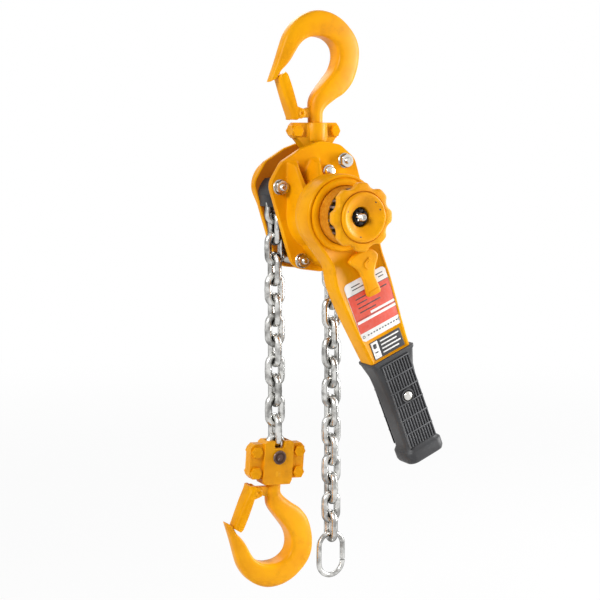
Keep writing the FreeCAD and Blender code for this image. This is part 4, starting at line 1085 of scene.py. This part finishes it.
def makeLabel():
    face, ink, top = label["face"], label["ink"], label["face"] + label["thick"]
    sheet, band, rules, lower, lines, marks = (bmesh.new() for layer in range(6))
    for work, name in ((sheet, "sheet"), (lower, "lowerSheet")):
        *sides, corner = label[name]
        stripe(work, *sides, face, label["thick"], corner)
    for work, name in ((sheet, "bars"), (band, "band"), (rules, "rules")):
        for *sides, lift in label[name]:
            stripe(work, *sides, top + lift)
    left, right, upper, foot = label["tick"]
    for index in range(label["ticks"]):
        along = index * label["tickStep"]
        stripe(rules, left + along, right + along, upper, foot, top)
    outer, inner = label["hole"]
    for centre in label["holes"]:
        lathe(rules, [(outer, top), (outer, top + ink), (inner, top + ink), (inner, top)], centre, count=20,
              hollow=True)
    stripe(lines, *label["block"], top)
    left, right, upper, high = label["line"]
    for index in range(label["lines"]):
        up = upper - label["lineStep"] * index
        stripe(lines, left, right - label["lineShort"] * (index % 2), up, up - high, top)
    for *sides, corner in label["marks"]:
        stripe(marks, *sides, top + label["marksLift"], ink, corner)
    for name, work, material in (
            ("label_sheet", sheet, "labelWhite"), ("label_band", band, "labelRed"),
            ("label_rules", rules, "labelBlack"), ("lower_plate", lower, "labelBlack"),
            ("lower_plate_rules", lines, "labelWhite"), ("lower_plate_marks", marks, "labelBlack")):
        piece(name, work, leverFrame, "lever", material, sharp=30)


makeLabel()

# hand knob, with eight lobes

knob = {
    "lobes": 8, "tip": 31.6, "hollowReach": 37.6, "hollow": 9.8, "softness": 1.6, "count": 256,
    # the lobed rim: outwards from the wavy outline, and forward
    "rim": [(-1.8, 103.0), (-0.6, 103.5), (0, 104.8), (0, 109.6), (-0.6, 110.9), (-1.9, 111.4)],
    # the raised disc, its dish, the socket and the hub behind
    "turned": [(24.2, 111.5), (23.6, 110.5), (23.1, 110.6), (22.9, 112.9), (22.3, 113.7), (21.4, 113.9),
               (20.0, 113.8), (18.6, 113.3), (15.0, 110.8), (12.0, 108.6), (10.5, 107.9), (9.5, 107.4),
               (9.3, 106.8), (9.3, 103.5), (9.3, 96.0), (15.9, 96.0), (16.5, 96.6), (16.5, 102.4),
               (17.1, 103.0)],
    "marks": (22, 48, 162, 258), "markReach": 18.6,
    "mark": [(1.0, 111.9), (1.0, 113.2), (0.6, 113.3), (0.1, 113.3)],
}


def knobReach(turn):
    # the wavy outline: eight lobes with round hollows between them
    step = 2 * math.pi / knob["lobes"]
    lean = (turn % step) - step / 2
    far, hollow = knob["hollowReach"], knob["hollow"]
    if abs(far * math.sin(lean)) >= hollow:
        return knob["tip"]
    return min(knob["tip"], far * math.cos(lean) - math.sqrt(hollow ** 2 - (far * math.sin(lean)) ** 2))


def smoothReach(turn):
    # an average over neighbouring turns, so that the lobes have round corners
    spread = math.radians(knob["softness"])
    weights = ((-2, 1), (-1, 2), (0, 3), (1, 2), (2, 1))
    return sum(weight * knobReach(turn + spread * step) for step, weight in weights) / 9


def makeKnob():
    work, marks = bmesh.new(), bmesh.new()
    turns = turnsOf(knob["count"])
    reaches = [smoothReach(turn) for turn in turns]
    rings = [[spotAt(reach + outwards, forward, turn) for reach, turn in zip(reaches, turns)]
             for outwards, forward in knob["rim"]]
    rings += [[spotAt(radius, forward, turn) for turn in turns] for radius, forward in knob["turned"]]
    skin(work, rings, True)
    piece("hand_knob", work, shaftFrame, "knob", "castAmberPaint", ["knob"], sharp=50)
    for degrees in knob["marks"]:
        turn, reach = math.radians(degrees), knob["markReach"]
        lathe(marks, knob["mark"], (reach * math.cos(turn), reach * math.sin(turn)), count=16)
    piece("knob_marks", marks, shaftFrame, "knob", "oiledSteel")


makeKnob()

feed = {
    "collar": [(27.2, 74.0), (27.2, 91.9), (26.7, 92.6), (25.6, 92.6), (25.6, 74.0)],
    "teeth": 26, "tip": 26.4, "root": 23.4, "count": 312, "flank": 5, "flankStart": 0.75,
    "edge": [(1.2, 92.0), (0, 93.0), (0, 98.5), (1.2, 99.5)], "bore": [(16.6, 99.5), (16.6, 92.0)],
}


def makeFeedWheel():
    # the toothed ring behind the knob and the collar of the lever that it turns in
    collar, wheel = bmesh.new(), bmesh.new()
    lathe(collar, feed["collar"], count=96, hollow=True)
    # the collar is painted a deeper amber: painted shade in the hollow between the head's ring and the knob
    piece("knob_collar", collar, shaftFrame, "lever", "shadedPaint", sharp=45)
    turns = turnsOf(feed["count"])
    waves = [(turn * feed["teeth"] / (2 * math.pi)) % 1 for turn in turns]
    lifts = [soft(min(wave, 1 - wave) * feed["flank"] - feed["flankStart"]) for wave in waves]
    rings = [[spotAt(feed["root"] + (feed["tip"] - feed["root"]) * lift - shrink, forward, turn)
              for lift, turn in zip(lifts, turns)] for shrink, forward in feed["edge"]]
    rings += [[spotAt(radius, forward, turn) for turn in turns] for radius, forward in feed["bore"]]
    skin(wheel, rings, True)
    piece("feed_wheel", wheel, shaftFrame, "change", "oiledSteel", sharp=35)


makeFeedWheel()

shaftEnd = {
    "nut": [(5.2, 98.5), (8.6, 98.5), (8.7, 99.3), (8.7, 104.0), (7.6, 105.0), (5.2, 105.0)], "flats": 15.2,
    # one of the six crowns between the slots: outwards, sideways
    "crown": [(4.4, 1.6), (4.4, -1.6), (6.9, -2.2), (6.9, 2.2)],
    "crownDepth": (104.8, 107.2), "crownEdge": 0.35,
    "thread": (103.2, 112.6, 3.5), "face": [(1.9, 112.6), (1.5, 111.6), (0.2, 111.2)],
    # the bent ends of the split pin
    "pin": [(0.2, 107.2), (0.9, 107.4), (0.9, 109.6), (0.3, 110.2)], "pinEnds": [(-5.1, 2.6), (-4.1, -2.6)],
}


def makeShaftEnd():
    # the slotted nut and the end of the shaft, down in the knob's socket
    work, tip = bmesh.new(), bmesh.new()
    lathe(work, shaftEnd["nut"], flats=shaftEnd["flats"], count=72, hollow=True)
    for index in range(6):
        turn = math.pi * index / 3 + math.pi / 6
        out, side = Vector((math.cos(turn), math.sin(turn))), Vector((-math.sin(turn), math.cos(turn)))
        corners = [out * outwards + side * sideways for outwards, sideways in shaftEnd["crown"]]
        slab(work, corners, *shaftEnd["crownDepth"], shaftEnd["crownEdge"])
    piece("slotted_nut", work, shaftFrame, "drive", "blackCoat", ["shaft_nut"], 35)
    lathe(tip, threadedEnd(*shaftEnd["thread"]) + shaftEnd["face"], count=40)
    for centre in shaftEnd["pinEnds"]:
        lathe(tip, shaftEnd["pin"], centre, count=14)
    piece("shaft_tip", tip, shaftFrame, "drive", "zincPlate")


makeShaftEnd()
print("lever made")

# grip

grip = {
    # up along the arm, half width, rear face, front face, corner
    "stations": [(-146.4, 24.8, 52.2, 77.0, 2.2), (-146.9, 25.6, 51.2, 78.2, 2.6),
                 (-149.4, 25.4, 50.4, 78.3, 3.2), (-151.4, 24.2, 49.8, 77.8, 4.0),
                 (-166.0, 20.6, 48.4, 77.9, 7.5), (-190.0, 18.3, 48.0, 78.0, 8.0),
                 (-220.0, 17.9, 48.0, 78.0, 8.0), (-240.5, 18.0, 48.2, 78.0, 8.0),
                 (-245.2, 18.6, 48.4, 78.3, 8.0), (-247.1, 20.6, 48.2, 79.8, 8.5),
                 (-248.4, 21.6, 47.8, 80.6, 8.5), (-256.8, 21.6, 48.0, 80.6, 8.5),
                 (-259.6, 20.6, 49.2, 79.4, 8.0), (-261.0, 18.4, 51.0, 77.0, 7.0)],
    "cornerSteps": 7, "left": -15.8, "right": 15.2, "top": -153.6, "foot": -244.0,
    "rows": 6, "ribs": 11, "ribWidth": 1.2, "ribEdge": 0.3, "ribDepths": [(77.2, 79.3), (47.5, 48.8)],
    # the bar across the top of each row, and how far the bars and the floor go past the ribs
    "barFoot": 0.1, "barTop": 1.4, "barEdge": 0.25, "barPast": 1, "rowGap": 1.3,
    "floorDepths": [(77.2, 78.2), (48.0, 48.8)], "floorPast": 0.6, "floorUp": 1, "floorEdge": 0.1,
    "rivet": -192.0, "rivetRoom": 8.5,
    "rivetHead": [(4.4, 46.4), (4.8, 47.2), (4.8, 79.0), (4.5, 79.9), (3.4, 80.6), (1.8, 81.0), (0.2, 81.1)],
    "cup": [(6.8, 77.4), (7.2, 78.9), (6.6, 79.4), (5.6, 79.2), (5.2, 78.2)],
}


def box(work, left, right, foot, top, depths, edge):
    slab(work, [(left, foot), (right, foot), (right, top), (left, top)], *depths, edge)


def makeGrip():
    work, ribs, dark = bmesh.new(), bmesh.new(), bmesh.new()
    left, right, upper, foot = (grip[word] for word in ("left", "right", "top", "foot"))
    rings = []
    for up, half, rear, front, corner in grip["stations"]:
        corners = [(-half, rear), (half, rear), (half, front), (-half, front)]
        outline = roundedOutline(corners, corner, grip["cornerSteps"])
        rings.append([Vector((p.x, -p.y, up)) for p in outline])
    skin(work, rings)
    piece("moulded_grip", work, leverFrame, "lever", "gripRubber", ["grip"], 45)
    rowStep = (upper - foot) / grip["rows"]
    ribStep = (right - left) / (grip["ribs"] - 1)
    half, past = grip["ribWidth"] / 2, grip["barPast"]
    for depths in grip["ribDepths"]:
        for row in range(grip["rows"]):
            top = upper - rowStep * row
            low = top - rowStep + grip["rowGap"]
            for rib in range(grip["ribs"]):
                x = left + ribStep * rib
                if math.hypot(x, top - rowStep / 2 - grip["rivet"]) >= grip["rivetRoom"]:
                    box(ribs, x - half, x + half, low, top, depths, grip["ribEdge"])
            low, high = top + grip["barFoot"], top + grip["barTop"]
            box(ribs, left - past, right + past, low, high, depths, grip["barEdge"])
    # the ribs are a lighter grey than the grip: painted highlight on their raised faces
    piece("grip_ribs", ribs, leverFrame, "lever", "ribHighlightRubber", sharp=45)
    # a near-black sheet behind the ribs: painted shade in the grooves
    past = grip["floorPast"]
    for depths in grip["floorDepths"]:
        box(dark, left - past, right + past, foot, upper + grip["floorUp"], depths, grip["floorEdge"])
    piece("grip_groove_shade", dark, leverFrame, "lever", "blackCoat", sharp=45)


def makeGripRivet():
    head, cup = bmesh.new(), bmesh.new()
    lathe(head, grip["rivetHead"], (0, grip["rivet"]), count=40)
    piece("rivet_head", head, leverFrame, "lever", "zincPlate", ["grip_rivet"])
    lathe(cup, grip["cup"], (0, grip["rivet"]), count=40)
    piece("rivet_cup", cup, leverFrame, "lever", "gripRubber")


makeGrip()
makeGripRivet()
print("grip made")

# finishes of the drawn pieces that stay

stayed = {
    "oiledSteel": ("load_sheave", "drive_shaft", "change_gear", "change_pawl", "brake_discs", "shaft_nut"),
    "zincPlate": ("stays", "top_pin"),
}
for material, names in stayed.items():
    for name in names:
        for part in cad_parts[name].material_slots:
            part.material = finish[material]

# floor and light

studio = {"floorDrop": 0.16, "floorReach": 6, "floor": (0.86, 0.86, 0.86, 1), "dull": 0.9, "world": 0.22,
          "fade": (0.9, 2.4), "glow": 0.85, "white": (1, 1, 1, 1), "aim": (0, 0, -0.25)}
lamps = {
    # name: place, size, power
    "key": ((-1.8, -0.8, 0.7), 0.9, 37.0),
    "right": ((1.6, -0.6, 0.2), 0.8, 29.0),
    "lowRight": ((1.5, -0.7, -0.35), 0.4, 12.0),
    "back": ((0.3, 1.6, 0.9), 0.8, 9.0),
}


def seenDirectly(tree):
    # one where the camera, a reflection or a view through glass looks, so that plain white shows there
    path = tree.nodes.new("ShaderNodeLightPath")
    seen = mathNode(tree, "MAXIMUM", path.outputs["Is Camera Ray"], path.outputs["Is Glossy Ray"])
    return mathNode(tree, "MAXIMUM", seen, path.outputs["Is Transmission Ray"])


def makeWorld():
    world = bpy.data.worlds.new("studioWorld")
    world.use_nodes = True
    scene.world = world
    tree = world.node_tree
    back = tree.nodes["Background"]
    setInputs(back, Color=studio["white"])
    strength = tree.nodes.new("ShaderNodeMapRange")
    setInputs(strength, To_Min=studio["world"], To_Max=1.0)
    tree.links.new(seenDirectly(tree), strength.inputs["Value"])
    tree.links.new(strength.outputs["Result"], back.inputs["Strength"])


def makeFloor():
    low, far = cadBox[0].z - studio["floorDrop"], studio["floorReach"]
    mesh = bpy.data.meshes.new("floorSheet")
    corners = [(-far, -far, low), (far, -far, low), (far, far, low), (-far, far, low)]
    mesh.from_pydata(corners, [], [(0, 1, 2, 3)])
    floor = bpy.data.objects.new("floorSheet", mesh)
    scene.collection.objects.link(floor)
    material, tree, shader = newMaterial("paleFloor")
    setInputs(shader, Base_Color=studio["floor"], Roughness=studio["dull"])
    glow = tree.nodes.new("ShaderNodeEmission")
    setInputs(glow, Color=studio["white"])
    mix = tree.nodes.new("ShaderNodeMixShader")
    spot = tree.nodes.new("ShaderNodeTexCoord")
    away = tree.nodes.new("ShaderNodeVectorMath")
    away.operation = "LENGTH"
    tree.links.new(spot.outputs["Object"], away.inputs[0])
    fade = rampNode(tree, away.outputs["Value"], *studio["fade"], studio["glow"], 1.0)
    tree.links.new(mathNode(tree, "MULTIPLY", seenDirectly(tree), fade), mix.inputs["Fac"])
    tree.links.new(shader.outputs["BSDF"], mix.inputs[1])
    tree.links.new(glow.outputs["Emission"], mix.inputs[2])
    tree.links.new(mix.outputs["Shader"], tree.nodes["Material Output"].inputs["Surface"])
    floor.data.materials.append(material)


def makeLamps():
    for name, (spot, size, power) in lamps.items():
        light = bpy.data.lights.new(name + "Lamp", "AREA")
        light.size = size
        light.energy = power
        lamp = bpy.data.objects.new(name + "Lamp", light)
        lamp.location = spot
        lamp.rotation_euler = facing(Vector(spot) - Vector(studio["aim"]))
        scene.collection.objects.link(lamp)


makeWorld()
makeFloor()
makeLamps()
scene.view_settings.view_transform = "Standard"
print("studio lit")
